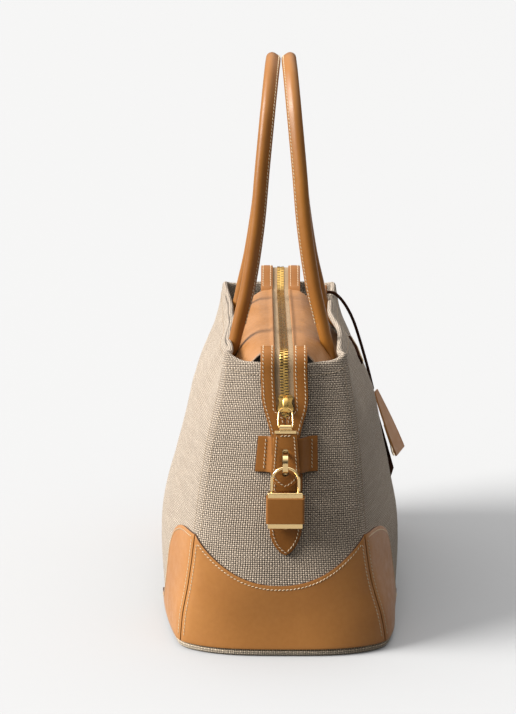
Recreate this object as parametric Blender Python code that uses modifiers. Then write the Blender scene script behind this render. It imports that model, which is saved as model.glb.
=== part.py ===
"""Canvas and leather doctor bag with a recessed zip top, two rolled handles, a padlock on the zip pull
and a leather tag on a lace.

Units are metres. +Z is up, X runs along the bag and the front faces -Y. The origin is on the ground,
below the middle of the bag. The zip is closed towards the left end, at -X.
"""

import math

import bmesh
import bpy
from mathutils import Matrix, Vector

# ---------------------------------------------------------------- driving dimensions
GAP = 0.0003  # between pieces that touch

# Outer skin of the body. Each level is (height, half length at the middle of an end, half length at the
# corner seam, half width at the corner seam, half width at the middle of the long side).
LEVELS = [
    (0.004, 0.1960, 0.1800, 0.0815, 0.1040),
    (0.030, 0.1985, 0.1830, 0.0810, 0.1100),
    (0.055, 0.2000, 0.1842, 0.0785, 0.1120),
    (0.080, 0.2005, 0.1845, 0.0750, 0.1095),
    (0.110, 0.2002, 0.1843, 0.0710, 0.1020),
    (0.140, 0.1988, 0.1838, 0.0680, 0.0945),
    (0.170, 0.1965, 0.1828, 0.0645, 0.0880),
    (0.190, 0.1947, 0.1815, 0.0618, 0.0830),
    (0.210, 0.1925, 0.1798, 0.0585, 0.0740),
    (0.235, 0.1892, 0.1770, 0.0545, 0.0600),
    (0.252, 0.1870, 0.1745, 0.0525, 0.0485),
]
SIDE_ROUND = 2.2  # how square the long side is in plan
END_ROUND = 3.5  # how square an end is in plan
CANVAS_T = 0.0016
LEATHER_T = 0.0018
SEAM_GAP = 0.0012  # room at a corner for two canvas edges that meet at an angle
PIPING_R = 0.0030
BOARD_T = 0.0030

# Every layer of the body uses these heights and shares, so that the layers stay parallel.
HEIGHTS = [0.0065, 0.0300, 0.0550, 0.0800, 0.1050, 0.1350, 0.1700, 0.1900, 0.2060, 0.2220, 0.2370]
HEIGHTS += [0.2520]
FACING_FROM = 8  # the facing covers the heights from this one up
SIDE_SHARES = [-1, -0.9, -0.75, -0.5, -0.25, 0, 0.25, 0.5, 0.75, 0.9, 1]
END_SHARES = [-1, -0.88, -0.65, -0.35, 0, 0.35, 0.65, 0.88, 1]
FACING_INSET = 0.0032
FACING_T = 0.0012
LINING_T = 0.0008

# Zip top: two hinged flaps between fixed skirts.
FLAP_X = 0.1640
FLAP_HINGE_Y = 0.0285
FLAP_HINGE_Z = 0.2528
RIDGE_Z = 0.2565  # middle of the zip tape on top
CHAIN_HALF = 0.0034
CHAIN_T = 0.0022
TAPE_EDGE = 0.0115
TAPE_T = 0.0006
STRIP_IN = 0.0077
STRIP_OUT = 0.0195
STRIP_T = 0.0014
SKIRT_BOTTOM = 0.2065
SKIRT_T = 0.0012
SKIRT_TOP_Y = 0.0305
# How a skirt falls: (share of the way out to the wall, height).
SKIRT_SHAPE = [(0.0, 0.2505), (0.12, 0.2440), (0.35, 0.2310), (0.68, 0.2170), (1.0, SKIRT_BOTTOM)]

# Zip drop over each end. DROP_TOP is (distance from the middle, height) where the straight part starts.
DROP_TOP = (0.1915, 0.2445)
DROP_SLOPE = 0.1125
DROP_BOTTOM_Z = 0.1770

KEEPER_Z = (0.1640, 0.1940)
KEEPER_HALF = 0.0260
KEEPER_FRONT = 0.2029
KEEPER_T = 0.0016
END_TAB_TOP = 0.1762
END_TAB_TIP = 0.0900
END_TAB_HALF = 0.0130
END_TAB_T = 0.0024

# Handles
HANDLE_R = 0.0058
HANDLE_WALL = 0.0016
HANDLE_LEG_X = 0.0900
HANDLE_HINGE_Y = 0.0475
HANDLE_HINGE_Z = 0.2475
HANDLE_FOOT_Z = 0.2535
HANDLE_TOP_Z = 0.4940
# Half of a handle from foot to top: (share of the leg distance, share of the height, distance from middle).
HANDLE_SHAPE = [
    (1.000, 0.000, 0.0395),
    (0.995, 0.060, 0.0378),
    (0.982, 0.198, 0.0292),
    (0.930, 0.411, 0.0217),
    (0.840, 0.624, 0.0172),
    (0.680, 0.820, 0.0128),
    (0.440, 0.945, 0.0098),
    (0.200, 0.992, 0.0084),
    (0.000, 1.000, 0.0082),
]

# Zip pull and padlock, hung outside the left end
SLIDER_Z = 0.2195
SLIDER_T = 0.0014
BAIL_X = -0.1992
BAIL_Z = 0.2160
RING_LOW_X = -0.2072
RING_LOW_Z = 0.2010
PULL_BACK = -0.2060  # back face of the leather pull
PULL_T = 0.0024
PULL_TOP = 0.1965
PULL_TIP = 0.1500
STAPLE_X = -0.2134  # middle of the padlock's shackle and body
SHACKLE_R = 0.0013
SHACKLE_ARCH = 0.0112
SHACKLE_TOP = 0.1658
LOCK_TOP = 0.1470
LOCK_BOTTOM = 0.1160
LOCK_HALF = 0.0145
LOCK_T = 0.0090

# Tag on its lace, on the front
TAG_X = 0.1075
LACE_R = 0.0015
LEAF_T = 0.0016
LEAF_TURN = {"inner": math.radians(8), "outer": math.radians(15)}  # about the vertical
KEY_TURN = math.radians(10)
LACE_ROUTE = [
    (-0.0438, 0.2550),
    (-0.0510, 0.2545),
    (-0.0580, 0.2490),
    (-0.0650, 0.2390),
    (-0.0716, 0.2250),
    (-0.0790, 0.2020),
    (-0.0858, 0.1780),
    (-0.0905, 0.1590),
]

COLOURS = {
    "canvas": ((0.55, 0.48, 0.39), 0.95, 0.0),
    "lining": ((0.42, 0.37, 0.30), 0.9, 0.0),
    "leather": ((0.56, 0.29, 0.11), 0.5, 0.0),
    "dark_leather": ((0.09, 0.035, 0.015), 0.6, 0.0),
    "tape": ((0.40, 0.30, 0.19), 0.9, 0.0),
    "gold": ((0.90, 0.68, 0.36), 0.2, 1.0),
    "board": ((0.25, 0.2, 0.15), 0.9, 0.0),
}

bag = None
guides = None
materials = {}


# ---------------------------------------------------------------- helpers
def start_scene():
    """An empty scene with the bag's collection, one for cutters, and the materials."""
    global bag, guides
    for obj in list(bpy.data.objects):
        bpy.data.objects.remove(obj)
    bag = bpy.data.collections.new("doctor_bag")
    guides = bpy.data.collections.new("cutters")
    for collection in (bag, guides):
        bpy.context.scene.collection.children.link(collection)
    for name, (colour, roughness, metallic) in COLOURS.items():
        mat = bpy.data.materials.new(name)
        mat.use_nodes = True
        shader = mat.node_tree.nodes["Principled BSDF"]
        shader.inputs["Base Color"].default_value = (*colour, 1.0)
        shader.inputs["Roughness"].default_value = roughness
        shader.inputs["Metallic"].default_value = metallic
        materials[name] = mat


def add_object(name, data, material, collection=None):
    obj = bpy.data.objects.new(name, data)
    (collection or bag).objects.link(obj)
    if material:
        data.materials.append(materials[material])
    return obj


def cutter(obj):
    """Turns an object into a helper that only cuts or joins."""
    for collection in list(obj.users_collection):
        collection.objects.unlink(obj)
    guides.objects.link(obj)
    obj.hide_render = True
    obj.display_type = "WIRE"
    return obj


def boolean(obj, other, operation):
    modifier = obj.modifiers.new(operation.lower(), "BOOLEAN")
    modifier.operation = operation
    modifier.object = cutter(other)


def smooth(points, per_span, closed=False):
    """Points along a Catmull-Rom curve through the given points."""
    pts = [Vector(p) for p in points]
    count = len(pts)
    made = []
    spans = count if closed else count - 1
    for i in range(spans):
        if closed:
            p0, p1, p2, p3 = (pts[(i + k) % count] for k in (-1, 0, 1, 2))
        else:
            p1, p2 = pts[i], pts[i + 1]
            p0 = pts[i - 1] if i else 2 * p1 - p2
            p3 = pts[i + 2] if i + 2 < count else 2 * p2 - p1
        for k in range(per_span):
            t = k / per_span
            made.append(
                0.5
                * (
                    2 * p1
                    + (p2 - p0) * t
                    + (2 * p0 - 5 * p1 + 4 * p2 - p3) * t**2
                    + (3 * p1 - p0 - 3 * p2 + p3) * t**3
                )
            )
    if not closed:
        made.append(pts[-1])
    return made


def read_curve(table, key):
    """The values of a table of rows, smoothly interpolated at a value of its first column."""
    low = 0
    while low < len(table) - 2 and table[low + 1][0] < key:
        low += 1
    row = [Vector(table[min(max(low + k, 0), len(table) - 1)]) for k in (-1, 0, 1, 2)]
    span = table[low + 1][0] - table[low][0]
    t = min(max((key - table[low][0]) / span, 0.0), 1.0)
    p0, p1, p2, p3 = row
    return [
        0.5 * (2 * b + (c - a) * t + (2 * a - 5 * b + 4 * c - d) * t**2 + (3 * b - a - 3 * c + d) * t**3)
        for a, b, c, d in list(zip(p0, p1, p2, p3))[1:]
    ]


def sheet_object(name, rows, material, thickness, outward, closed=False):
    """A shell: a grid of points given a thickness, outwards (True) or inwards from the bag's middle."""
    mesh = bpy.data.meshes.new(name)
    across = len(rows[0])
    faces = []
    for i in range(len(rows) - 1):
        for j in range(across if closed else across - 1):
            k = (j + 1) % across
            a, b = i * across, (i + 1) * across
            faces.append((a + j, a + k, b + k, b + j))
    mesh.from_pydata([tuple(p) for row in rows for p in row], [], faces)
    middle = Vector((0.0, 0.0, 0.12))
    facing = sum((p.normal.dot(p.center - middle) for p in mesh.polygons), 0.0)
    if facing < 0:
        mesh.flip_normals()
    obj = add_object(name, mesh, material)
    modifier = obj.modifiers.new("thickness", "SOLIDIFY")
    modifier.thickness = thickness
    modifier.offset = 1.0 if outward else -1.0
    modifier.use_even_offset = True
    mesh.shade_smooth()
    return obj


def loft_object(name, sections, material, ring=False, collection=None):
    """A solid through equal rings of points, with flat ends, or closed on itself if ring is True."""
    mesh = bpy.data.meshes.new(name)
    around = len(sections[0])
    faces = []
    for i in range(len(sections) if ring else len(sections) - 1):
        a, b = i * around, ((i + 1) % len(sections)) * around
        for j in range(around):
            k = (j + 1) % around
            faces.append((a + j, a + k, b + k, b + j))
    if not ring:
        faces.append(tuple(reversed(range(around))))
        faces.append(tuple(range((len(sections) - 1) * around, len(sections) * around)))
    mesh.from_pydata([tuple(p) for s in sections for p in s], [], faces)
    built = bmesh.new()
    built.from_mesh(mesh)
    bmesh.ops.recalc_face_normals(built, faces=built.faces)
    built.to_mesh(mesh)
    built.free()
    mesh.shade_smooth()
    mesh.set_sharp_from_angle(angle=math.radians(35))
    return add_object(name, mesh, material, collection)


def curve_object(name, points, radius, material, closed=False, sides=2, caps=True):
    """A round tube or wire along points."""
    curve = bpy.data.curves.new(name, "CURVE")
    curve.dimensions = "3D"
    curve.bevel_depth = radius
    curve.bevel_resolution = sides
    curve.use_fill_caps = caps and not closed
    spline = curve.splines.new("POLY")
    spline.points.add(len(points) - 1)
    for point, place in zip(spline.points, points):
        point.co = (*place, 1.0)
    spline.use_cyclic_u = closed
    spline.use_smooth = True
    return add_object(name, curve, material)


def box_object(name, low, high, material, bevel=0.0):
    """A block between two corners, with rounded edges if asked."""
    mesh = bpy.data.meshes.new(name)
    built = bmesh.new()
    bmesh.ops.create_cube(built, size=1.0)
    size = [h - l for l, h in zip(low, high)]
    bmesh.ops.scale(built, vec=size, verts=built.verts)
    built.to_mesh(mesh)
    built.free()
    obj = add_object(name, mesh, material)
    obj.location = [(l + h) / 2 for l, h in zip(low, high)]
    if bevel:
        modifier = obj.modifiers.new("edges", "BEVEL")
        modifier.width = bevel
        modifier.segments = 2
    return obj


def cylinder_object(name, centre, axis, radius, length, material, sides=24):
    mesh = bpy.data.meshes.new(name)
    built = bmesh.new()
    bmesh.ops.create_cone(
        built, cap_ends=True, segments=sides, radius1=radius, radius2=radius, depth=length
    )
    built.to_mesh(mesh)
    built.free()
    mesh.shade_smooth()
    mesh.set_sharp_from_angle(angle=math.radians(35))
    obj = add_object(name, mesh, material)
    turn = Vector(axis).to_track_quat("Z", "Y").to_matrix().to_4x4()
    obj.matrix_world = Matrix.Translation(centre) @ turn
    return obj


# ---------------------------------------------------------------- the body's surface
def side_point(share, z, inset, front=True):
    """A point on a long side. share runs from -1 at the left seam to 1 at the right one."""
    _, seam_x, seam_y, belly = (v - inset for v in read_curve(LEVELS, z))
    y = seam_y + (belly - seam_y) * (1 - abs(share) ** SIDE_ROUND)
    return Vector((share * seam_x, -y if front else y, z))


def end_point(share, z, inset, left=True):
    """A point on an end. share runs from -1 at the front seam to 1 at the back one."""
    length, seam_x, seam_y, _ = (v - inset for v in read_curve(LEVELS, z))
    x = seam_x + (length - seam_x) * (1 - abs(share) ** END_ROUND)
    return Vector((-x if left else x, share * seam_y, z))


def steps(low, high, count):
    return [low + (high - low) * i / count for i in range(count + 1)]


def loop_points(z, inset):
    """One turn round the body at a height: front, right end, back, left end."""
    made = [side_point(s, z, inset) for s in SIDE_SHARES[:-1]]
    made += [end_point(s, z, inset, left=False) for s in END_SHARES[:-1]]
    made += [side_point(-s, z, inset, front=False) for s in SIDE_SHARES[:-1]]
    made += [end_point(-s, z, inset) for s in END_SHARES[:-1]]
    return made


def panel_shares(shares, margin):
    """The same shares with the two outer ones drawn in from the seams by a margin."""
    return [min(max(s, margin - 1), 1 - margin) for s in shares]


def make_walls():
    """Four canvas panels from seam to seam."""
    shares = panel_shares(SIDE_SHARES, SEAM_GAP / 0.18)
    for name, front in (("canvas_front", True), ("canvas_back", False)):
        rows = [[side_point(s, z, 0, front) for s in shares] for z in HEIGHTS]
        sheet_object(name, rows, "canvas", CANVAS_T, outward=False)
    shares = panel_shares(END_SHARES, SEAM_GAP / 0.06)
    for name, left in (("canvas_left_end", True), ("canvas_right_end", False)):
        rows = [[end_point(s, z, 0, left) for s in shares] for z in HEIGHTS]
        sheet_object(name, rows, "canvas", CANVAS_T, outward=False)


def flat_slab(name, low, high, inset, material):
    """A flat piece with the outline of the body's foot."""
    sections = [
        [Vector((p.x, p.y, z)) for p in loop_points(LEVELS[0][0], inset)] for z in (low, high)
    ]
    return loft_object(name, sections, material)


def make_base():
    """Bottom canvas, stiff board and the canvas-covered piping that the bag stands on."""
    flat_slab("canvas_base", 0.0, CANVAS_T, 0.0068, "canvas")
    flat_slab("base_board", CANVAS_T + GAP, CANVAS_T + GAP + BOARD_T, 0.0068, "board")
    route = [Vector((p.x, p.y, PIPING_R)) for p in loop_points(LEVELS[0][0], 0.0032)]
    curve_object("base_piping", route, PIPING_R, "canvas", closed=True)


def make_inside():
    """Rim facing and lining."""
    rows = [loop_points(z, FACING_INSET) for z in HEIGHTS[FACING_FROM:]]
    sheet_object("rim_facing", rows, "canvas", FACING_T, outward=False, closed=True)
    heights = HEIGHTS[:FACING_FROM] + [HEIGHTS[FACING_FROM] - 0.0005]
    rows = [loop_points(z, FACING_INSET) for z in heights]
    sheet_object("lining_walls", rows, "lining", LINING_T, outward=False, closed=True)
    flat_slab("lining_floor", 0.0066, 0.0074, 0.0070, "lining")


# ---------------------------------------------------------------- leather patches
END_PATCH_LOW = 0.0625
END_PATCH_RISE = 0.0385
# Top edge of a corner patch on the long side: (distance from the seam, height).
WING_TOP = [
    (0.000, 0.1006),
    (0.012, 0.1030),
    (0.030, 0.1045),
    (0.043, 0.1025),
    (0.052, 0.0960),
    (0.058, 0.0850),
    (0.062, 0.0700),
    (0.066, 0.0540),
    (0.073, 0.0370),
    (0.086, 0.0235),
    (0.104, 0.0160),
    (0.122, 0.0140),
]


def make_patches():
    """At each end a middle patch with a hollow top edge and two wings round the corners."""
    for side, left in (("left", True), ("right", False)):
        columns = []
        for s in panel_shares(END_SHARES, 0.0004 / 0.07):
            top = END_PATCH_LOW + END_PATCH_RISE * abs(s) ** 2.1
            columns.append([end_point(s, z, -GAP, left) for z in steps(HEIGHTS[0], top, 5)])
        sheet_object(f"patch_{side}_end", columns, "leather", LEATHER_T, outward=True)
        for face, front in (("front", True), ("back", False)):
            columns = []
            for distance in steps(0.0004, WING_TOP[-1][0], 10):
                top = read_curve(WING_TOP, distance)[0]
                share = 1 - distance / 0.184
                share = -share if left else share
                column = [side_point(share, z, -GAP, front) for z in steps(HEIGHTS[0], top, 5)]
                columns.append(column)
            sheet_object(f"patch_{side}_{face}", columns, "leather", LEATHER_T, outward=True)


# ---------------------------------------------------------------- zip top
def mirrored(points, flip_x, flip_y):
    return [
        Vector((-p[0] if flip_x else p[0], -p[1] if flip_y else p[1], p[2])) for p in points
    ]


def drop_x(z):
    """How far out the zip tape is on its straight drop."""
    return DROP_TOP[0] + DROP_SLOPE * (DROP_TOP[1] - z)


def drop_path(lift):
    """(point, outward direction) along the zip over an end, from the flap to the foot."""
    over = [
        (FLAP_X + 0.0008, 0, RIDGE_Z),
        (0.1720, 0, 0.2595),
        (0.1795, 0, 0.2612),
        (0.1862, 0, 0.2590),
        (0.1902, 0, 0.2530),
        (DROP_TOP[0], 0, DROP_TOP[1]),
    ]
    path = smooth(over, 2)
    path += [Vector((drop_x(z), 0, z)) for z in (0.222, 0.200, DROP_BOTTOM_Z)]
    made = []
    for i, p in enumerate(path):
        along = (path[min(i + 1, len(path) - 1)] - path[max(i - 1, 0)]).normalized()
        if i == 0:
            along = Vector((1, 0, 0))
        out = Vector((-along.z, 0, along.x))
        made.append((p + lift * out, out))
    return made


def drop_piece(name, profile_of, material, flip_x, flip_y, lift=0.0):
    """A ribbon along the drop. profile_of(height, share) gives corners (across, out) of its section."""
    path = drop_path(lift)
    sections = []
    for i, (p, out) in enumerate(path):
        corners = profile_of(p.z, i / (len(path) - 1))
        section = [Vector((p.x, y, p.z)) + out * n for y, n in corners]
        sections.append(mirrored(section, flip_x, flip_y))
    return loft_object(name, sections, material)


def zip_section(_, __):
    """Tape with half of the chain on its edge. The gap in the middle is for the slider's post."""
    inner, bead, edge = 0.0006, CHAIN_HALF, TAPE_EDGE
    t, c = TAPE_T / 2, CHAIN_T / 2
    return [
        (inner, -c),
        (bead, -c),
        (bead, -t),
        (edge * 0.92, -t),
        (edge * 0.92, t),
        (bead, t),
        (bead, c),
        (inner, c),
    ]


def strip_half(z, share):
    """Outer edge of a leather strip, which narrows towards the keeper."""
    if share < 0.45:
        return STRIP_OUT
    down = min(max((DROP_TOP[1] - z) / (DROP_TOP[1] - DROP_BOTTOM_Z), 0.0), 1.0)
    return STRIP_OUT - 0.0075 * down**1.6


def strip_section(z, share):
    h = STRIP_T / 2
    outer = strip_half(z, share)
    return [(STRIP_IN, -h), (outer, -h), (outer, h), (STRIP_IN, h)]


def make_zip_ends():
    lift = TAPE_T / 2 + GAP + STRIP_T / 2
    for side, flip_x in (("left", True), ("right", False)):
        for face, flip_y in (("front", True), ("back", False)):
            drop_piece(f"zip_drop_{side}_{face}", zip_section, "tape", flip_x, flip_y)
            drop_piece(f"zip_strip_{side}_{face}", strip_section, "leather", flip_x, flip_y, lift)


def flap_heights(y):
    """Middle of the flap's leather at a distance from the centre line."""
    level = TAPE_EDGE + 0.0008
    share = max(y - level, 0) / (FLAP_HINGE_Y - level)
    start = RIDGE_Z + TAPE_T / 2 + GAP + STRIP_T / 2
    return start + (FLAP_HINGE_Z - STRIP_T / 2 - start) * share


def make_closure():
    """On each side a flap with tape and chain, and the skirt that joins it to the facing."""
    for face, front in (("front", True), ("back", False)):
        flip = -1 if front else 1
        rows = []
        for y in (STRIP_IN, TAPE_EDGE + 0.0008, 0.0200, FLAP_HINGE_Y - 0.0002):
            z = flap_heights(y) - STRIP_T / 2
            rows.append([Vector((x, flip * y, z)) for x in steps(-FLAP_X, FLAP_X, 8)])
        sheet_object(f"closure_flap_{face}", rows, "leather", STRIP_T, outward=True)
        box_object(
            f"zip_tape_{face}",
            (-FLAP_X, min(flip * (CHAIN_HALF + GAP), flip * TAPE_EDGE), RIDGE_Z - TAPE_T / 2),
            (FLAP_X, max(flip * (CHAIN_HALF + GAP), flip * TAPE_EDGE), RIDGE_Z + TAPE_T / 2),
            "tape",
        )
        box_object(
            f"zip_chain_{face}",
            (-FLAP_X, min(flip * 0.0003, flip * CHAIN_HALF), RIDGE_Z - CHAIN_T / 2),
            (FLAP_X, max(flip * 0.0003, flip * CHAIN_HALF), RIDGE_Z + CHAIN_T / 2),
            "gold",
        )
        rows = []
        inset = FACING_INSET + FACING_T * 1.5 + GAP + SKIRT_T
        for share, height in SKIRT_SHAPE:
            row = []
            for x in steps(-FLAP_X, FLAP_X, 10):
                wall = abs(side_point(x / 0.1800, height, inset, front).y)
                foot = abs(side_point(x / 0.1800, SKIRT_BOTTOM, inset, front).y)
                y = SKIRT_TOP_Y + (foot - SKIRT_TOP_Y) * share
                row.append(Vector((x, flip * min(y, wall), height)))
            rows.append(row)
        sheet_object(f"closure_skirt_{face}", rows, "leather", SKIRT_T, outward=True)


# ---------------------------------------------------------------- handles
def handle_path(front):
    """Centre line of a handle, from its left foot over the top to its right foot."""
    rise = HANDLE_TOP_Z - HANDLE_R - HANDLE_FOOT_Z
    half = []
    for across, up, y in HANDLE_SHAPE:
        half.append((-across * HANDLE_LEG_X, -y if front else y, HANDLE_FOOT_Z + up * rise))
    other = [(-x, y, z) for x, y, z in reversed(half[:-1])]
    return smooth(half + other, 2)


def ring_of(centre, half_x, half_y, tilt=0.0, count=12):
    made = []
    for i in range(count):
        a = 2 * math.pi * i / count
        y = half_y * math.sin(a)
        offset = Vector((half_x * math.cos(a), y * math.cos(tilt), y * math.sin(tilt)))
        made.append(centre + offset)
    return made


def make_handles():
    """Rolled handles with a cord core, and the flattened ends that are sewn inside the rim."""
    for face, front in (("front", True), ("back", False)):
        flip = -1 if front else 1
        path = handle_path(front)
        foot = [path[0].copy(), path[-1].copy()]
        cover = curve_object(
            f"handle_{face}_cover", path, HANDLE_R, "leather", sides=2, caps=False
        )
        wall = cover.modifiers.new("thickness", "SOLIDIFY")
        wall.thickness = HANDLE_WALL
        wall.offset = -1.0
        core_r = HANDLE_R - HANDLE_WALL - GAP
        curve_object(f"handle_{face}_core", path, core_r, "canvas", sides=1)
        for side, x in (("left", foot[0].x), ("right", foot[1].x)):
            stations = (
                (0.0392, HANDLE_FOOT_Z - 0.0013, 0.0057, 0.0057),
                (0.0400, 0.2488, 0.0059, 0.0053),
                (0.0430, 0.2435, 0.0072, 0.0041),
                (0.0482, 0.2360, 0.0095, 0.0027),
                (0.0535, 0.2275, 0.0115, 0.0018),
                (0.0600, 0.2165, 0.0120, 0.0013),
            )
            sections = []
            for i, (y, z, half_x, half_y) in enumerate(stations):
                tilt = 0.0 if i < 1 else math.radians(min(30, 10 * i))
                sections.append(ring_of(Vector((x, flip * y, z)), half_x, half_y, flip * tilt))
            loft_object(f"handle_{face}_root_{side}", sections, "leather")


# ---------------------------------------------------------------- ends: tab and keeper
def make_end_trim():
    for side, left in (("left", True), ("right", False)):
        sign = -1 if left else 1
        sections = []
        heights = [END_TAB_TOP, 0.160, 0.140, 0.120, 0.108, 0.100, 0.095, 0.0920, END_TAB_TIP]
        for z in heights:
            point = min(max((z - END_TAB_TIP) / 0.0240, 0.0), 1.0)
            half = max(END_TAB_HALF * math.sin(point * math.pi / 2) ** 0.8, 0.0006)
            back = abs(end_point(0, z, -GAP - 0.0002, left).x)
            ring = [(back, -half), (back + END_TAB_T, -half), (back + END_TAB_T, half), (back, half)]
            sections.append([Vector((sign * x, y, z)) for x, y in ring])
        loft_object(f"end_tab_{side}", sections, "leather")

        rows = []
        for z in steps(*KEEPER_Z, 3):
            row = []
            for y in steps(-KEEPER_HALF, KEEPER_HALF, 20):
                rise = min(max((0.0205 - abs(y)) / 0.0065, 0.0), 1.0)
                rise = rise * rise * (3 - 2 * rise)
                flat = abs(end_point(y / 0.063, z, -GAP - 0.0002, left).x)
                inner = flat + (KEEPER_FRONT - KEEPER_T - flat) * rise
                row.append(Vector((sign * inner, y, z)))
            rows.append(row)
        sheet_object(f"keeper_{side}", rows, "leather", KEEPER_T, outward=True)


def make_plate():
    """Small blank metal plate near the top of the front."""
    rows = [
        [side_point(s, z, -GAP) for s in steps(-0.24, 0.24, 8)] for z in (0.2180, 0.2215, 0.2250)
    ]
    sheet_object("front_plate", rows, "gold", 0.0014, outward=True)


# ---------------------------------------------------------------- zip pull
def arch_points(centre_x, half, top, low, count=12):
    """A U on its head in the plane across the bag."""
    made = [Vector((centre_x, -half, low))]
    for i in range(count + 1):
        a = math.pi - math.pi * i / count
        made.append(Vector((centre_x, half * math.cos(a), top - half + half * math.sin(a))))
    made.append(Vector((centre_x, half, low)))
    return made


def make_slider():
    """Two plates either side of the chain, the post between the chain halves, and the bail."""
    chain = CHAIN_T / 2
    face = -chain - 0.0004 - SLIDER_T  # outer face of the front plate
    front_low, front_high = (face, -0.0055, -0.0065), (face + SLIDER_T, 0.0055, 0.0065)
    slider = box_object("zip_slider", front_low, front_high, "gold", 0.0005)
    pieces = {
        "slider_back": ((chain + 0.0004, -0.0050, -0.0065), (chain + 0.0013, 0.0050, 0.0065)),
        "slider_post": ((face + 0.0008, -0.0003, -0.0060), (chain + 0.0010, 0.0003, -0.0030)),
        "bail_head": ((face - 0.0032, -0.0018, 0.0028), (face + 0.0008, 0.0018, 0.0058)),
        "bail_heel": ((face - 0.0032, -0.0018, -0.0066), (face + 0.0008, 0.0018, -0.0048)),
        "bail_bar": ((face - 0.0048, -0.0018, -0.0066), (face - 0.0028, 0.0018, 0.0058)),
    }
    solids = [box_object(name, low, high, None) for name, (low, high) in pieces.items()]
    lean = Matrix.Rotation(math.atan(DROP_SLOPE), 4, "Y")
    place = Matrix.Translation((-drop_x(SLIDER_Z), 0, SLIDER_Z)) @ lean
    for obj in (slider, *solids):
        obj.matrix_basis = place @ obj.matrix_basis
    for obj in solids:
        boolean(slider, obj, "UNION")


def make_pull():
    """Ring, metal cap, leather pull with its slot, and the staple that the padlock hangs on."""
    corners = [
        (BAIL_X, -0.0042, BAIL_Z),
        (BAIL_X, 0.0042, BAIL_Z),
        (BAIL_X - 0.0010, 0.0055, BAIL_Z - 0.0025),
        (RING_LOW_X, 0.0062, RING_LOW_Z + 0.0020),
        (RING_LOW_X, 0.0054, RING_LOW_Z),
        (RING_LOW_X, -0.0054, RING_LOW_Z),
        (RING_LOW_X, -0.0062, RING_LOW_Z + 0.0020),
        (BAIL_X - 0.0010, -0.0055, BAIL_Z - 0.0025),
    ]
    curve_object("pull_ring", corners, 0.0007, "gold", closed=True)

    front = PULL_BACK - PULL_T
    cap_low, cap_high = (front - 0.0005, -0.0087, PULL_TOP + GAP), (PULL_BACK + 0.0005, 0.0087, 0.1990)
    cap = box_object("pull_cap", cap_low, cap_high, "gold", 0.0004)
    eye = (RING_LOW_X, 0, RING_LOW_Z)
    boolean(cap, cylinder_object("cap_eye", eye, (0, 1, 0), 0.0024, 0.0090, None, 20), "UNION")
    boolean(cap, cylinder_object("cap_bore", eye, (0, 1, 0), 0.0011, 0.0200, None, 16), "DIFFERENCE")

    sections = []
    for z in (PULL_TOP, 0.185, 0.170, 0.162, 0.157, 0.1535, 0.1510, PULL_TIP):
        widest = 0.0092 + 0.0024 * min((PULL_TOP - z) / 0.030, 1.0)
        point = min((z - PULL_TIP) / 0.0110, 1.0)
        half = max(widest * math.sin(point * math.pi / 2) ** 0.8, 0.0006)
        ring = [(PULL_BACK, -half), (front, -half), (front, half), (PULL_BACK, half)]
        sections.append([Vector((x, y, z)) for x, y in ring])
    pull = loft_object("pull_tab", sections, "leather")
    slot_rings = []
    for x in (PULL_BACK + 0.002, front - 0.002):
        ring = []
        for middle, start in ((0.1790, 0), (0.1605, math.pi)):
            for i in range(9):
                a = start + math.pi * i / 8
                ring.append(Vector((x, 0.0029 * math.cos(a), middle + 0.0029 * math.sin(a))))
        slot_rings.append(ring)
    boolean(pull, loft_object("pull_slot", slot_rings, None), "DIFFERENCE")

    route = smooth(
        [
            (PULL_BACK + 0.0008, 0, 0.1766),
            (STAPLE_X + 0.0018, 0, 0.1762),
            (STAPLE_X - 0.0024, 0, 0.1735),
            (STAPLE_X - 0.0036, 0, 0.1690),
            (STAPLE_X - 0.0024, 0, 0.1638),
            (STAPLE_X + 0.0018, 0, 0.1612),
            (PULL_BACK + 0.0008, 0, 0.1608),
        ],
        3,
    )
    sections = []
    for i, p in enumerate(route):
        along = (route[min(i + 1, len(route) - 1)] - route[max(i - 1, 0)]).normalized()
        out = Vector((-along.z, 0, along.x))
        corners = ((-0.0020, -0.0009), (0.0020, -0.0009), (0.0020, 0.0009), (-0.0020, 0.0009))
        sections.append([p + Vector((0, y, 0)) + out * n for y, n in corners])
    staple = loft_object("lock_staple", sections, "gold")
    back = PULL_BACK + GAP
    plate = box_object("staple_plate", (back, -0.0048, 0.1580), (back + 0.0008, 0.0048, 0.1800), None)
    boolean(staple, plate, "UNION")


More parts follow.
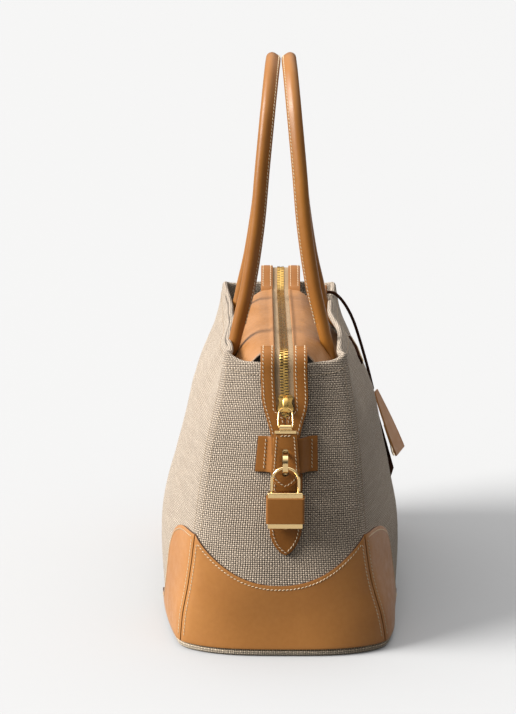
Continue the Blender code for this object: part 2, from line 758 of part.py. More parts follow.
def make_padlock():
    """Shackle, metal body with its leather sleeve, and the key cylinder in the foot."""
    route = arch_points(STAPLE_X, SHACKLE_ARCH, SHACKLE_TOP, LOCK_TOP - 0.0055)
    curve_object("padlock_shackle", route, SHACKLE_R, "gold")
    half_t = LOCK_T / 2
    body = box_object(
        "padlock_body",
        (STAPLE_X - half_t, -LOCK_HALF, LOCK_BOTTOM),
        (STAPLE_X + half_t, LOCK_HALF, LOCK_TOP),
        "gold",
        0.0012,
    )
    up = (0, 0, 1)
    for side, y in (("front", -SHACKLE_ARCH), ("back", SHACKLE_ARCH)):
        mouth = (STAPLE_X, y, LOCK_TOP)
        hole = cylinder_object(f"leg_hole_{side}", mouth, up, SHACKLE_R + GAP, 0.0130, None, 16)
        boolean(body, hole, "DIFFERENCE")
    seat = cylinder_object("seat", (STAPLE_X, 0, LOCK_BOTTOM), up, 0.0033, 0.0140, None, 20)
    boolean(body, seat, "DIFFERENCE")
    centre = (STAPLE_X, 0, LOCK_BOTTOM + 0.0032)
    core = cylinder_object("padlock_cylinder", centre, up, 0.0030, 0.0060, "gold", 20)
    low, high = LOCK_BOTTOM - 0.001, LOCK_BOTTOM + 0.004
    slot = box_object("keyway", (STAPLE_X - 0.0004, -0.0018, low), (STAPLE_X + 0.0004, 0.0018, high), None)
    boolean(core, slot, "DIFFERENCE")
    outer, inner = 0.0015, GAP
    sections = []
    for half_x, half_y, z in (
        (half_t + inner, LOCK_HALF + inner, 0.1205),
        (half_t + outer, LOCK_HALF + outer, 0.1205),
        (half_t + outer, LOCK_HALF + outer, 0.1425),
        (half_t + inner, LOCK_HALF + inner, 0.1425),
    ):
        corners = ((-half_x, -half_y), (half_x, -half_y), (half_x, half_y), (-half_x, half_y))
        sections.append([Vector((STAPLE_X + x, y, z)) for x, y in corners])
    loft_object("padlock_sleeve", sections, "leather", ring=True)


# ---------------------------------------------------------------- tag
def leaf_object(name, turn, top, tip, half_tip, material):
    """A bell-shaped leather leaf hanging from top to tip, both (y, z), turned a little about the vertical."""
    half_top = 0.0060
    turned = Vector((math.cos(turn), -math.sin(turn), 0))
    down = Vector((0, tip[0] - top[0], tip[1] - top[1]))
    out = Vector((0, down.z, -down.y)).normalized()
    sections = []
    for s in steps(0, 1, 6):
        half = half_top + (half_tip - half_top) * math.sin(s * math.pi / 2)
        middle = Vector((TAG_X, *top)) + down * s
        corners = ((-half, 0), (half, 0), (half, LEAF_T), (-half, LEAF_T))
        sections.append([middle + turned * x + out * n for x, n in corners])
    return loft_object(name, sections, material)


def make_tag():
    """Loop on the rim, lace over the rim, and a tag of two leaves with a key between them."""
    centre = Vector((TAG_X, LACE_ROUTE[0][0], 0.2535))
    ring = []
    for i in range(16):
        a = 2 * math.pi * i / 16
        ring.append(centre + Vector((0.0058 * math.cos(a), 0, 0.0075 * math.sin(a))))
    curve_object("tag_loop", ring, 0.0012, "leather", closed=True)
    route = smooth([(TAG_X, y, z) for y, z in LACE_ROUTE], 2)
    curve_object("tag_lace", route, LACE_R, "dark_leather")
    top = (LACE_ROUTE[-1][0] - 0.0002, LACE_ROUTE[-1][1] - 0.0022)
    inner_top = (top[0] + 0.0040, top[1])
    outer_top = (top[0] - 0.0018, top[1])
    leaf_object("tag_leaf_inner", LEAF_TURN["inner"], inner_top, (-0.1093, 0.0744), 0.0150, "dark_leather")
    leaf_object("tag_leaf_outer", LEAF_TURN["outer"], outer_top, (-0.1174, 0.0956), 0.0185, "leather")
    key = box_object("padlock_key", (-0.0015, -0.0005, -0.0240), (0.0015, 0.0005, 0.0), "gold")
    bow = cylinder_object("key_bow", (0, 0, -0.0270), (0, 1, 0), 0.0055, 0.0010, None, 20)
    bit = box_object("key_bit", (0.0, -0.0005, -0.0045), (0.0045, 0.0005, -0.0005), None)
    eye = cylinder_object("key_eye", (0, 0, -0.0285), (0, 1, 0), 0.0018, 0.0040, None, 16)
    key_y, key_z = top[0] - 0.0113, top[1] - 0.0340
    lean = math.atan2(key_y + 0.1112, key_z - 0.0958)
    place = Matrix.Translation((TAG_X, key_y, key_z))
    place = place @ Matrix.Rotation(-KEY_TURN, 4, "Z") @ Matrix.Rotation(-lean, 4, "X")
    for obj in (key, bow, bit, eye):
        obj.matrix_world = place @ obj.matrix_basis
    for obj, operation in ((bow, "UNION"), (bit, "UNION"), (eye, "DIFFERENCE")):
        boolean(key, obj, operation)


# ---------------------------------------------------------------- joints
def pivot(name, place, pieces, parent=None):
    """An empty on a joint's axis that carries the pieces which move with it."""
    empty = bpy.data.objects.new(name, None)
    empty.empty_display_size = 0.02
    bag.objects.link(empty)
    empty.parent = parent
    origin = Vector(place)
    empty["place"] = origin
    empty.location = origin - (Vector(parent["place"]) if parent else Vector())
    for piece in pieces:
        obj = bpy.data.objects[piece]
        obj.parent = empty
        obj.matrix_parent_inverse = Matrix.Translation(-origin)
    return empty


def make_pivots():
    """Handles, flaps and tag swing about X; the zip pull and its padlock hang in a chain."""
    for face, flip in (("front", -1), ("back", 1)):
        handle = (f"handle_{face}_cover", f"handle_{face}_core")
        pivot(f"handle_{face}_swing", (0, flip * HANDLE_HINGE_Y, HANDLE_HINGE_Z), handle)
        flap = (f"closure_flap_{face}", f"zip_tape_{face}", f"zip_chain_{face}")
        pivot(f"flap_{face}_open", (0, flip * FLAP_HINGE_Y, FLAP_HINGE_Z), flap)
    slider = pivot("slider_slide", (-drop_x(SLIDER_Z), 0, SLIDER_Z), ["zip_slider"])
    ring = pivot("ring_swing", (BAIL_X, 0, BAIL_Z), ["pull_ring"], slider)
    pulled = ("pull_cap", "pull_tab", "lock_staple")
    pull = pivot("pull_swing", (RING_LOW_X, 0, RING_LOW_Z), pulled, ring)
    shackle = pivot("padlock_swing", (STAPLE_X, 0, SHACKLE_TOP), ["padlock_shackle"], pull)
    locked = ("padlock_body", "padlock_sleeve", "padlock_cylinder")
    pivot("padlock_slide", (STAPLE_X, 0, LOCK_TOP), locked, shackle)
    lace = pivot("lace_swing", (TAG_X, *LACE_ROUTE[0]), ["tag_lace"])
    hung = ("tag_leaf_inner", "tag_leaf_outer", "padlock_key")
    pivot("tag_swing", (TAG_X, *LACE_ROUTE[-1]), hung, lace)


def main():
    start_scene()
    make_walls()
    make_base()
    make_inside()
    make_patches()
    make_zip_ends()
    make_closure()
    make_handles()
    make_end_trim()
    make_plate()
    make_slider()
    make_pull()
    make_padlock()
    make_tag()
    make_pivots()


main()
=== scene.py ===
"""Looks of the canvas and leather doctor bag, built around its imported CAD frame.

Metres, Z up. X runs along the bag, the zip closes towards -X and the front faces -Y.
"""

import math
import random

import bmesh
import bpy
import numpy as np
from mathutils import Matrix, Vector, noise


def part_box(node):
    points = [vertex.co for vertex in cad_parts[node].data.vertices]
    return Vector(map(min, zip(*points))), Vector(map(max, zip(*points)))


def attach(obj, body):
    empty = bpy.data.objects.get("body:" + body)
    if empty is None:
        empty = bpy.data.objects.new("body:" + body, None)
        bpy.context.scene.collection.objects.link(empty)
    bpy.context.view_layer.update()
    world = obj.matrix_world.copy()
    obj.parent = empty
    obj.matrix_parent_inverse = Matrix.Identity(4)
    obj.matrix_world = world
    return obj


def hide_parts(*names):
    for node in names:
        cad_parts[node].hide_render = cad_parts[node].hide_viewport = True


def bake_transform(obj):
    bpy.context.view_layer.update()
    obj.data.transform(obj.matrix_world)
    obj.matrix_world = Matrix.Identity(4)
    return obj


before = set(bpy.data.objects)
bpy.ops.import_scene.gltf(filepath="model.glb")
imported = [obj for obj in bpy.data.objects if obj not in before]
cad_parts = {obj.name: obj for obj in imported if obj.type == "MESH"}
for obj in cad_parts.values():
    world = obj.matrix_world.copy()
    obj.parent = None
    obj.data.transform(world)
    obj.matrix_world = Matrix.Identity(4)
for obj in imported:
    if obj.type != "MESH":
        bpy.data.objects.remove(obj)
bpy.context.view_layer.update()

random.seed(11)

# ---------------------------------------------------------------- sizes
STITCH_PITCH = 0.0032
THREAD_R = 0.00038
WEAVE_PITCH = 0.00190  # from one thread of the canvas to the next
LEATHER_T = 0.0018
CANVAS_T = 0.0020
LINING_T = 0.0008
RIM_T = 0.0050
TOOTH_PITCH = 0.0023
HANDLE_R = 0.0054
PIPING_R = 0.0034
WALL_STEPS = (110, 56)  # columns of the canvas and the piping on each side and each end
KEEPER_FRONT = 0.2030  # how far along X the middle of a keeper band stands out
FLANGE = 0.0024  # how far a handle's stitched flange stands inwards
HANDLE_SEAM = 0.00215  # from the middle of a handle to each row of its stitches
HANDLE_SEAM_FROM = 0.264  # a handle is stitched above this height

base_low, base_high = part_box("canvas_front")
WALL_BOTTOM = base_low.z
RIM_Z = base_high.z
pull_low, pull_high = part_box("pull_tab")
lock_low, lock_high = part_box("padlock_body")
LOCK_X = (lock_low.x + lock_high.x) / 2

# Outer skin of the body, as in the CAD: (height, half length at the middle of an end, half length and half
# width at the corner seam, half width at the middle of the long side).
LEVELS = [
    (0.0000, 0.2032, 0.1820, 0.0862, 0.1060),
    (0.0300, 0.2012, 0.1838, 0.0838, 0.1085),
    (0.0550, 0.2008, 0.1843, 0.0790, 0.1095),
    (0.0800, 0.2005, 0.1845, 0.0750, 0.1082),
    (0.1100, 0.2002, 0.1843, 0.0710, 0.1020),
    (0.1400, 0.1988, 0.1838, 0.0680, 0.0945),
    (0.1700, 0.1965, 0.1828, 0.0645, 0.0880),
    (0.1900, 0.1947, 0.1815, 0.0618, 0.0830),
    (0.2100, 0.1925, 0.1798, 0.0585, 0.0740),
    (0.2350, 0.1892, 0.1770, 0.0545, 0.0600),
    (0.2600, 0.1860, 0.1735, 0.0525, 0.0440),
]
SIDE_ROUND = 2.2  # power of a side's curve: 2 is round, more is flatter in the middle


# ---------------------------------------------------------------- materials
class Nodes:
    """Short ways to add and link the nodes of a material or a world."""

    def __init__(self, owner):
        owner.use_nodes = True
        self.nodes, self.links = owner.node_tree.nodes, owner.node_tree.links

    def set(self, socket, value):
        if isinstance(value, bpy.types.NodeSocket):
            self.links.new(value, socket)
        else:
            socket.default_value = value

    def add(self, kind, inputs=None, **settings):
        made = self.nodes.new("ShaderNode" + kind)
        for name, value in settings.items():
            setattr(made, name, value)
        for key, value in (inputs or {}).items():
            self.set(made.inputs[key], value)
        return made

    def math(self, operation, a, b=0.0, c=0.0):
        return self.add("Math", {0: a, 1: b, 2: c}, operation=operation).outputs[0]


class Material(Nodes):
    """A Principled material."""

    def __init__(self, name, colour, roughness, **sockets):
        self.mat = bpy.data.materials.new(name)
        super().__init__(self.mat)
        self.shader = self.nodes["Principled BSDF"]
        self.shader.inputs["Base Color"].default_value = (*colour, 1)
        self.shader.inputs["Roughness"].default_value = roughness
        for socket, value in sockets.items():
            self.shader.inputs[socket.replace("_", " ")].default_value = value

    def noise(self, coordinates, scale, detail=3.0, roughness=0.55):
        inputs = {"Vector": coordinates, "Scale": scale, "Detail": detail, "Roughness": roughness}
        return self.add("TexNoise", inputs).outputs["Fac"]

    def mix(self, factor, a, b):
        """From colour a to colour b as the factor goes from 0 to 1."""
        made = self.add("Mix", {0: factor}, data_type="RGBA")
        for key, value in ((6, a), (7, b)):
            self.set(made.inputs[key], value if isinstance(value, bpy.types.NodeSocket) else (*value, 1))
        return made.outputs[2]

    def remap(self, value, low, high, new_low, new_high):
        inputs = {0: value, 1: low, 2: high, 3: new_low, 4: new_high}
        return self.add("MapRange", inputs, clamp=True).outputs[0]

    def vary(self, coordinates, scale, low, high, detail=3.0):
        """A value that wanders from low to high."""
        return self.remap(self.noise(coordinates, scale, detail), 0.3, 0.7, low, high)

    def colour(self, socket):
        self.set(self.shader.inputs["Base Color"], socket)

    def roughness(self, socket):
        self.set(self.shader.inputs["Roughness"], socket)

    def bump(self, height, distance, strength=1.0):
        made = self.add("Bump", {"Height": height, "Distance": distance, "Strength": strength})
        self.links.new(made.outputs[0], self.shader.inputs["Normal"])

    def place(self, kind="Object"):
        return self.add("TexCoord").outputs[kind]


OVER_SHARE = 0.56  # how much of the weave's height is its going over and under; the rest is round threads
SLUB_STRETCH = 0.045  # a thread's uneven places are this much longer than they are wide


def weave_material(name, light, dark, pitch, depth, coordinates="UV"):
    """Plain weave of uneven threads, with painted shade between them and on the warp where it lies on top. The
    coordinates are in metres.
    """
    m = Material(name, light, 0.92, Sheen_Weight=0.22, Sheen_Roughness=0.45, Sheen_Tint=(1.0, 0.90, 0.80, 1.0))
    place = m.place(coordinates)
    wander = m.add("TexNoise", {"Vector": place, "Scale": 90.0, "Detail": 2.0})
    shift = m.add("VectorMath", {0: wander.outputs["Color"], 1: (0.5, 0.5, 0.5)}, operation="SUBTRACT")
    shift = m.add("VectorMath", {0: shift.outputs[0], "Scale": 0.0016}, operation="SCALE")
    moved = m.add("VectorMath", {0: place, 1: shift.outputs[0]}, operation="ADD")
    scaled = m.add("VectorMath", {0: moved.outputs[0], "Scale": 1 / pitch}, operation="SCALE")
    parts = m.add("SeparateXYZ", {0: scaled.outputs[0]})
    u, v = parts.outputs[0], parts.outputs[1]
    wave_u, wave_v = (m.math("SINE", m.math("MULTIPLY", part, math.pi)) for part in (u, v))
    over_u = m.math("MULTIPLY", m.math("SIGN", wave_u), wave_v)
    over_v = m.math("MULTIPLY", m.math("MULTIPLY", m.math("SIGN", wave_v), wave_u), -1.0)
    warp_number, weft_number = m.math("FLOOR", u), m.math("FLOOR", v)
    thread_u = {0: m.math("MULTIPLY", warp_number, 7.3), 1: m.math("MULTIPLY", v, SLUB_STRETCH)}
    thread_v = {0: m.math("MULTIPLY", u, SLUB_STRETCH), 1: m.math("MULTIPLY", weft_number, 5.1)}

    def thread(wave, over, place_on_thread):
        """(height, slub) of one set of threads: round, over and under, and thick and thin along each."""
        rounded = m.math("POWER", m.math("ABSOLUTE", wave), 0.7)
        height = m.math("MULTIPLY_ADD", over, OVER_SHARE, m.math("MULTIPLY", rounded, 1 - OVER_SHARE))
        slub = m.noise(m.add("CombineXYZ", place_on_thread).outputs[0], 1.0, 3.0, 0.7)
        return m.math("ADD", height, m.math("MULTIPLY", m.math("SUBTRACT", slub, 0.5), 0.4)), slub

    warp, slub_u = thread(wave_u, over_u, thread_u)
    weft, slub_v = thread(wave_v, over_v, thread_v)
    height = m.math("MAXIMUM", warp, weft)
    on_top = m.math("GREATER_THAN", warp, weft)
    tone = m.add("Mix", {0: on_top, 2: slub_v, 3: slub_u}, data_type="FLOAT").outputs[0]
    yarn = m.mix(m.remap(tone, 0.3, 0.7, 0.0, 1.0), dark, light)
    fleck = m.remap(m.noise(place, 700.0, 2.0), 0.60, 0.72, 0.0, 0.5)
    cloudy = m.vary(place, 14.0, 0.0, 0.22)
    # Painted shade: the low places between the threads are darkened.
    gap_shade = m.remap(height, 0.30, 0.86, 1.0, 0.0)
    # Painted shade: where the warp lies on top it is darkened, as light from one side shades it.
    warp_shade = m.math("MULTIPLY", on_top, 0.60)
    for amount, shade_of_dark in ((fleck, 0.55), (cloudy, 0.86), (warp_shade, 0.55), (gap_shade, 0.14)):
        yarn = m.mix(amount, yarn, [c * shade_of_dark for c in dark])
    m.colour(yarn)
    m.bump(height, depth, 0.9)
    return m.mat


def leather_material(name, light, dark, gloss=0.42, grain=0.00012, specular=0.36):
    """Smooth leather: cloudy tone, fine pores and faint wrinkles."""
    m = Material(name, light, gloss, Coat_Weight=specular / 6, Coat_Roughness=0.35)
    m.shader.inputs["Specular IOR Level"].default_value = specular
    place = m.place()
    cloud = m.remap(m.noise(place, 16.0, 4.0), 0.32, 0.68, 0.0, 1.0)
    fine = m.vary(place, 260.0, 0.0, 1.0)
    tone = m.math("MULTIPLY_ADD", fine, 0.25, m.math("MULTIPLY", cloud, 0.75))
    m.colour(m.mix(tone, dark, light))
    pores = m.noise(place, 2600.0, 2.0)
    cells = m.add("TexVoronoi", {"Vector": place, "Scale": 1500.0}).outputs["Distance"]
    creases = m.noise(place, 55.0, 5.0, 0.7)
    height = m.math("MULTIPLY_ADD", cells, 0.4, m.math("MULTIPLY", pores, 0.5))
    height = m.math("MULTIPLY_ADD", creases, 1.6, height)
    m.bump(height, grain, 0.8)
    m.roughness(m.vary(place, 120.0, gloss - 0.06, gloss + 0.08))
    return m.mat


def plain_material(name, colour, roughness, scale=300.0):
    """One tone with a fine variation and a slight bump."""
    m = Material(name, colour, roughness)
    place = m.place()
    m.colour(m.mix(m.vary(place, scale, 0.0, 0.25), colour, [c * 0.45 for c in colour]))
    m.bump(m.noise(place, scale * 2.5), 0.00008, 0.6)
    return m.mat


def gold_material(name, colour, roughness):
    """Polished metal with a slightly uneven gloss."""
    m = Material(name, colour, roughness, Metallic=1.0)
    place = m.place()
    m.roughness(m.vary(place, 240.0, roughness - 0.05, roughness + 0.07, 4.0))
    m.bump(m.noise(place, 900.0, 2.0), 0.00002, 0.25)
    return m.mat


def tape_material(name):
    """Close herringbone zip tape."""
    m = Material(name, (0.22, 0.15, 0.09), 0.85)
    place = m.place()
    parts = m.add("SeparateXYZ", {0: place})
    along = m.math("ADD", parts.outputs[0], parts.outputs[2])
    across = m.math("PINGPONG", parts.outputs[1], 0.0011)
    ribs = m.math("SINE", m.math("MULTIPLY", m.math("ADD", along, across), 2 * math.pi / 0.0009))
    tone = m.remap(ribs, -1.0, 1.0, 0.0, 0.55)
    m.colour(m.mix(tone, (0.29, 0.195, 0.105), (0.15, 0.095, 0.048)))
    m.bump(ribs, 0.00008, 0.8)
    return m.mat


CANVAS = weave_material("linen_canvas", (0.57, 0.460, 0.352), (0.42, 0.327, 0.238), WEAVE_PITCH, 0.0017)
BASE_CLOTH = weave_material("linen_base", (0.58, 0.47, 0.34), (0.45, 0.36, 0.25), WEAVE_PITCH, 0.0013, "Object")
PIPING = weave_material("linen_piping", (0.80, 0.66, 0.49), (0.60, 0.48, 0.34), 0.0016, 0.0012)
LINING = weave_material("lining_cloth", (0.20, 0.17, 0.13), (0.15, 0.12, 0.09), 0.0007, 0.0001, "Object")
CANVAS_THREAD = plain_material("linen_thread", (0.30, 0.23, 0.16), 0.85, 900.0)
LEATHER = leather_material("tan_leather", (0.305, 0.128, 0.029), (0.238, 0.091, 0.017))
PANEL = leather_material("panel_leather", (0.31, 0.145, 0.055), (0.24, 0.100, 0.027), 0.40, 0.00014)
STRAP = leather_material("strap_leather", (0.215, 0.083, 0.0160), (0.168, 0.059, 0.009), 0.45, specular=0.20)
HANDLE = leather_material("handle_leather", (0.232, 0.091, 0.0145), (0.185, 0.066, 0.009), 0.38, specular=0.26)
# The panels' cut and folded edge: pale leather, made paler still as a painted highlight along the fold beside
# the zip.
PALE_EDGE_AND_HIGHLIGHT = plain_material("folded_edge_and_highlight", (0.60, 0.40, 0.27), 0.5)
EDGE = plain_material("painted_edge", (0.060, 0.022, 0.009), 0.5)
DARK = leather_material("dark_leather", (0.034, 0.013, 0.007), (0.022, 0.009, 0.005), 0.7, 0.0001, 0.0)
GOLD = gold_material("pale_gold", (0.69, 0.49, 0.235), 0.15)
# Painted shade: a darker copy of the pale gold for the ring, holding back the bright reflections it would show.
SHADED_GOLD = gold_material("shaded_gold", (0.60, 0.41, 0.18), 0.16)
TEETH = gold_material("zip_gold", (0.62, 0.385, 0.115), 0.27)
TAPE = tape_material("zip_tape")
THREAD = plain_material("cream_thread", (0.46, 0.36, 0.24), 0.75, 900.0)
BOARD = plain_material("stiff_board", (0.14, 0.11, 0.08), 0.9)
COTTON = plain_material("cotton_cord", (0.36, 0.32, 0.26), 0.95)


# ---------------------------------------------------------------- meshes
def new_object(name, data):
    """An object in the scene that shows this mesh, curve, light or camera."""
    obj = bpy.data.objects.new(name, data)
    bpy.context.scene.collection.objects.link(obj)
    return obj


def shade(mesh, angle=40):
    """Smooth shading that leaves edges sharper than the angle."""
    mesh.shade_smooth()
    mesh.set_sharp_from_angle(angle=math.radians(angle))


def add_mesh(name, points, faces, materials, uvs=None):
    """An object from points and faces. uvs gives one pair per point."""
    mesh = bpy.data.meshes.new(name)
    mesh.from_pydata([tuple(p) for p in points], [], [tuple(f) for f in faces])
    for mat in materials:
        mesh.materials.append(mat)
    if uvs is not None:
        index = np.zeros(len(mesh.loops), np.int32)
        mesh.loops.foreach_get("vertex_index", index)
        layer = mesh.uv_layers.new(name="UVMap")
        layer.data.foreach_set("uv", np.asarray(uvs, np.float32)[index].ravel())
    mesh.shade_smooth()
    return new_object(name, mesh)


def grid_faces(rows, columns, wrap=False, flip=False):
    """Faces of a grid whose points are listed row by row."""
    i, j = np.meshgrid(np.arange(rows - 1), np.arange(columns if wrap else columns - 1), indexing="ij")
    k = (j + 1) % columns
    quads = np.stack([i * columns + j, i * columns + k, (i + 1) * columns + k, (i + 1) * columns + j], -1)
    quads = quads.reshape(-1, 4)
    return quads[:, ::-1] if flip else quads


def sheet(name, rows, materials, flip=False, uvs=None):
    """An object from a grid of points. u and v of uvs are arrays of the grid's shape."""
    grid = np.array(rows, float)
    if uvs is not None:
        uvs = np.stack([np.broadcast_to(part, grid.shape[:2]) for part in uvs], -1).reshape(-1, 2)
    return add_mesh(name, grid.reshape(-1, 3), grid_faces(*grid.shape[:2], flip=flip), materials, uvs)


def tube_faces(rows, around):
    """Faces of a tube through rings of points, with both ends closed."""
    last = (rows - 1) * around
    faces = [tuple(f) for f in grid_faces(rows, around, wrap=True)]
    return faces + [tuple(range(around))[::-1], tuple(range(last, last + around))]


def bake(obj):
    """Applies an object's modifiers."""
    graph = bpy.context.evaluated_depsgraph_get()
    made = bpy.data.meshes.new_from_object(obj.evaluated_get(graph))
    old = obj.data
    obj.modifiers.clear()
    obj.data = made
    if old.users == 0:
        bpy.data.meshes.remove(old)
    return obj


def thicken(obj, thickness, bevel=0.0003, rim=0):
    """Gives a sheet its thickness behind its face, with rounded edges. rim is the slot of the cut edge."""
    solid = obj.modifiers.new("thickness", "SOLIDIFY")
    solid.thickness = thickness
    solid.offset = -1.0
    solid.use_even_offset = True
    solid.material_offset_rim = rim
    if bevel:
        edges = obj.modifiers.new("edges", "BEVEL")
        edges.width = bevel
        edges.segments = 2
        edges.limit_method = "ANGLE"
        edges.angle_limit = math.radians(50)
    bake(obj)
    shade(obj.data)
    return obj


def loft(name, rings, material, closed=False):
    """A solid through equal rings of points. If it is closed, the last ring joins the first."""
    rows, around = len(rings), len(rings[0])
    faces = tube_faces(rows, around)
    if closed:
        last = (rows - 1) * around
        faces[-2:] = [(last + j, last + (j + 1) % around, (j + 1) % around, j) for j in range(around)]
    obj = add_mesh(name, np.array(rings, float).reshape(-1, 3), faces, [material])
    tidy_normals(obj.data)
    shade(obj.data)
    return obj


def tidy_normals(mesh, merge=0.0):
    """Turns the faces outwards, once points closer than merge are made one."""
    built = bmesh.new()
    built.from_mesh(mesh)
    if merge:
        bmesh.ops.remove_doubles(built, verts=built.verts, dist=merge)
    bmesh.ops.recalc_face_normals(built, faces=built.faces)
    built.to_mesh(mesh)
    built.free()


def tangent(path, i):
    return (path[min(i + 1, len(path) - 1)] - path[max(i - 1, 0)]).normalized()


def square_to(t, side):
    """The direction nearest to side that is square to t."""
    return (side - t * side.dot(t)).normalized()


def ring_at(p, t, side, section):
    """A section's points (side, up) placed at a point of a path that runs along t."""
    up = t.cross(side)
    return [p + side * a + up * b for a, b in section]


def sweep(name, path, profile, material, first_side=(0, 1, 0)):
    """profile(share) gives the section's points (side, up) along the path. The side doesn't twist."""
    path = [Vector(p) for p in path]
    side = Vector(first_side)
    rings = []
    for i, p in enumerate(path):
        t = tangent(path, i)
        side = square_to(t, side)
        rings.append(ring_at(p, t, side, profile(i / (len(path) - 1))))
    return loft(name, rings, material)


def round_section(radius, count):
    angles = [2 * math.pi * i / count for i in range(count)]
    return [(radius * math.cos(a), radius * math.sin(a)) for a in angles]


def wire(name, path, radius, material, closed=False, first_side=(0, 1, 0)):
    """Round wire along a path or, if it is closed, round a loop."""
    section = round_section(radius, 14)
    if not closed:
        return sweep(name, path, lambda share: section, material, first_side)
    path = [Vector(p) for p in path]
    rings = []
    for i, p in enumerate(path):
        t = (path[(i + 1) % len(path)] - path[i - 1]).normalized()
        rings.append(ring_at(p, t, square_to(t, Vector(first_side)), section))
    return loft(name, rings, material, closed=True)


def catmull(p0, p1, p2, p3, t):
    """The value a share t of the way from p1 to p2 on a Catmull-Rom curve."""
    return 0.5 * (
        2 * p1
        + (p2 - p0) * t
        + (2 * p0 - 5 * p1 + 4 * p2 - p3) * t**2
        + (3 * p1 - p0 - 3 * p2 + p3) * t**3
    )


def smooth(points, per_span):
    """Points along a Catmull-Rom curve through the given points."""
    pts = [Vector(p) for p in points]
    pts = [2 * pts[0] - pts[1], *pts, 2 * pts[-1] - pts[-2]]
    made = [catmull(*pts[i : i + 4], k / per_span) for i in range(len(pts) - 3) for k in range(per_span)]
    return [*made, pts[-2]]


def marks_along(points):
    """How far each point is from the first, along them."""
    marks = [0.0]
    for a, b in zip(points, points[1:]):
        marks.append(marks[-1] + (b - a).length)
    return marks


def between(marks, places):
    """(k, share) of each of the rising places: that share of the way from mark k to the next."""
    k = 0
    for at in places:
        while k < len(marks) - 2 and marks[k + 1] < at:
            k += 1
        yield k, (at - marks[k]) / max(marks[k + 1] - marks[k], 1e-9)


def along(line, pitch, start=0.0):
    """(point, tangent, normal) every pitch along a line of (point, normal), leaving out start at each end."""
    points, normals = [Vector(p) for p, _ in line], [Vector(n) for _, n in line]
    marks = marks_along(points)
    end = marks[-1] - start
    count = max(int((end - start) / pitch), 1)
    made = []
    for k, share in between(marks, [start + (end - start) * (i + 0.5) / count for i in range(count)]):
        normal = normals[k].lerp(normals[k + 1], share).normalized()
        made.append((points[k].lerp(points[k + 1], share), (points[k + 1] - points[k]).normalized(), normal))
    return made


def capsule(length, radius, around=6):
    """Points and faces of a rounded thread along X."""
    shape = [(-0.5, 0.25), (-0.42, 0.75), (-0.2, 1.0), (0.2, 1.0), (0.42, 0.75), (0.5, 0.25)]
    ring = round_section(radius, around)
    points = np.array([(x * length, r * a, r * b) for x, r in shape for a, b in ring])
    return points, tube_faces(len(shape), around)


def stitches(name, lines, body=None, slant=18, length=0.0025, radius=THREAD_R, pitch=STITCH_PITCH):
    """Saddle stitches along lines of (point, normal), all in one object."""
    template, template_faces = capsule(length, radius)
    slant = math.radians(slant)
    points, faces = [], []
    for line in lines:
        for p, t, n in along(line, pitch, pitch * 0.4):
            turned = (t * math.cos(slant) + n.cross(t).normalized() * math.sin(slant)).normalized()
            turn = np.array([turned, n.cross(turned).normalized(), n]).T
            jitter = random.uniform(0.93, 1.05)
            start = len(points) * len(template)
            points.append((template * jitter) @ turn.T + np.array(p + n * radius * 0.25))
            faces += [tuple(start + k for k in f) for f in template_faces]
    obj = add_mesh(name, np.concatenate(points), faces, [THREAD])
    if body:
        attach(obj, body)
    return obj


def finish_piece(obj, body, slot, *replaced):
    """Hides the CAD nodes that the piece stands for, and lets it ride. The slot is not used."""
    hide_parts(*replaced)
    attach(obj, body)


# ---------------------------------------------------------------- the body's skin
Z_STEP = 0.002
SIDE_COLUMNS, END_COLUMNS = 360, 160
COLUMNS = 2 * (SIDE_COLUMNS + END_COLUMNS)
FACE_START = np.array([0, SIDE_COLUMNS, SIDE_COLUMNS + END_COLUMNS, 2 * SIDE_COLUMNS + END_COLUMNS])
DENT, SMALL_DENT = 0.0022, 0.0009


def span_of(table, key):
    """Reads a table by its first column: the share of the way through the span that holds the key, and the
    other columns of the four rows round it."""
    low = 0
    while low < len(table) - 2 and table[low + 1][0] < key:
        low += 1
    rows = [np.array(table[min(max(low + k, 0), len(table) - 1)]) for k in (-1, 0, 1, 2)]
    return (key - rows[1][0]) / (rows[2][0] - rows[1][0]), [row[1:] for row in rows]


def read_levels(z):
    """The skin's sizes at a height."""
    share, rows = span_of(LEVELS, z)
    return catmull(*rows, min(max(share, 0.0), 1.15))


def rise(value, low, high):
    """0 at low, 1 at high and smooth between."""
    t = np.clip((value - low) / (high - low), 0, 1)
    return t * t * (3 - 2 * t)


# Waves of the cloth near the rim: (how far, where along X, how wide).
FRONT_WAVES = (
    (0.0024, -0.128, 0.026), (-0.0018, -0.055, 0.035), (0.0022, 0.035, 0.040), (-0.0016, 0.120, 0.025),
)
BACK_WAVES = (
    (-0.0022, -0.130, 0.024), (0.0014, -0.075, 0.030), (-0.0020, 0.005, 0.045), (0.0016, 0.115, 0.030),
)


def soft_shape(x, y, z):
    """How far the cloth stands off its even shape along Y: the top leans, flares and waves a little."""
    front, back = (
        sum(size * np.exp(-(((x - middle) / width) ** 2)) for size, middle, width in waves)
        for waves in (FRONT_WAVES, BACK_WAVES)
    )
    inner = np.clip((0.172 - np.abs(x)) / 0.03, 0, 1)
    wave = np.where(y < 0, front, back) * rise(z, 0.185, 0.250) * inner
    lean_over = (0.0157 * x - 0.0017) * rise(z, 0.09, 0.24)
    flare = np.sign(y) * 0.0038 * rise(x, 0.110, 0.172) * rise(z, 0.16, 0.25)
    foot = np.where(y < 0, -0.0055, 0.0) * rise(-x, 0.090, 0.165) * (1 - rise(z, 0.0, 0.075))
    return wave + lean_over + flare + foot


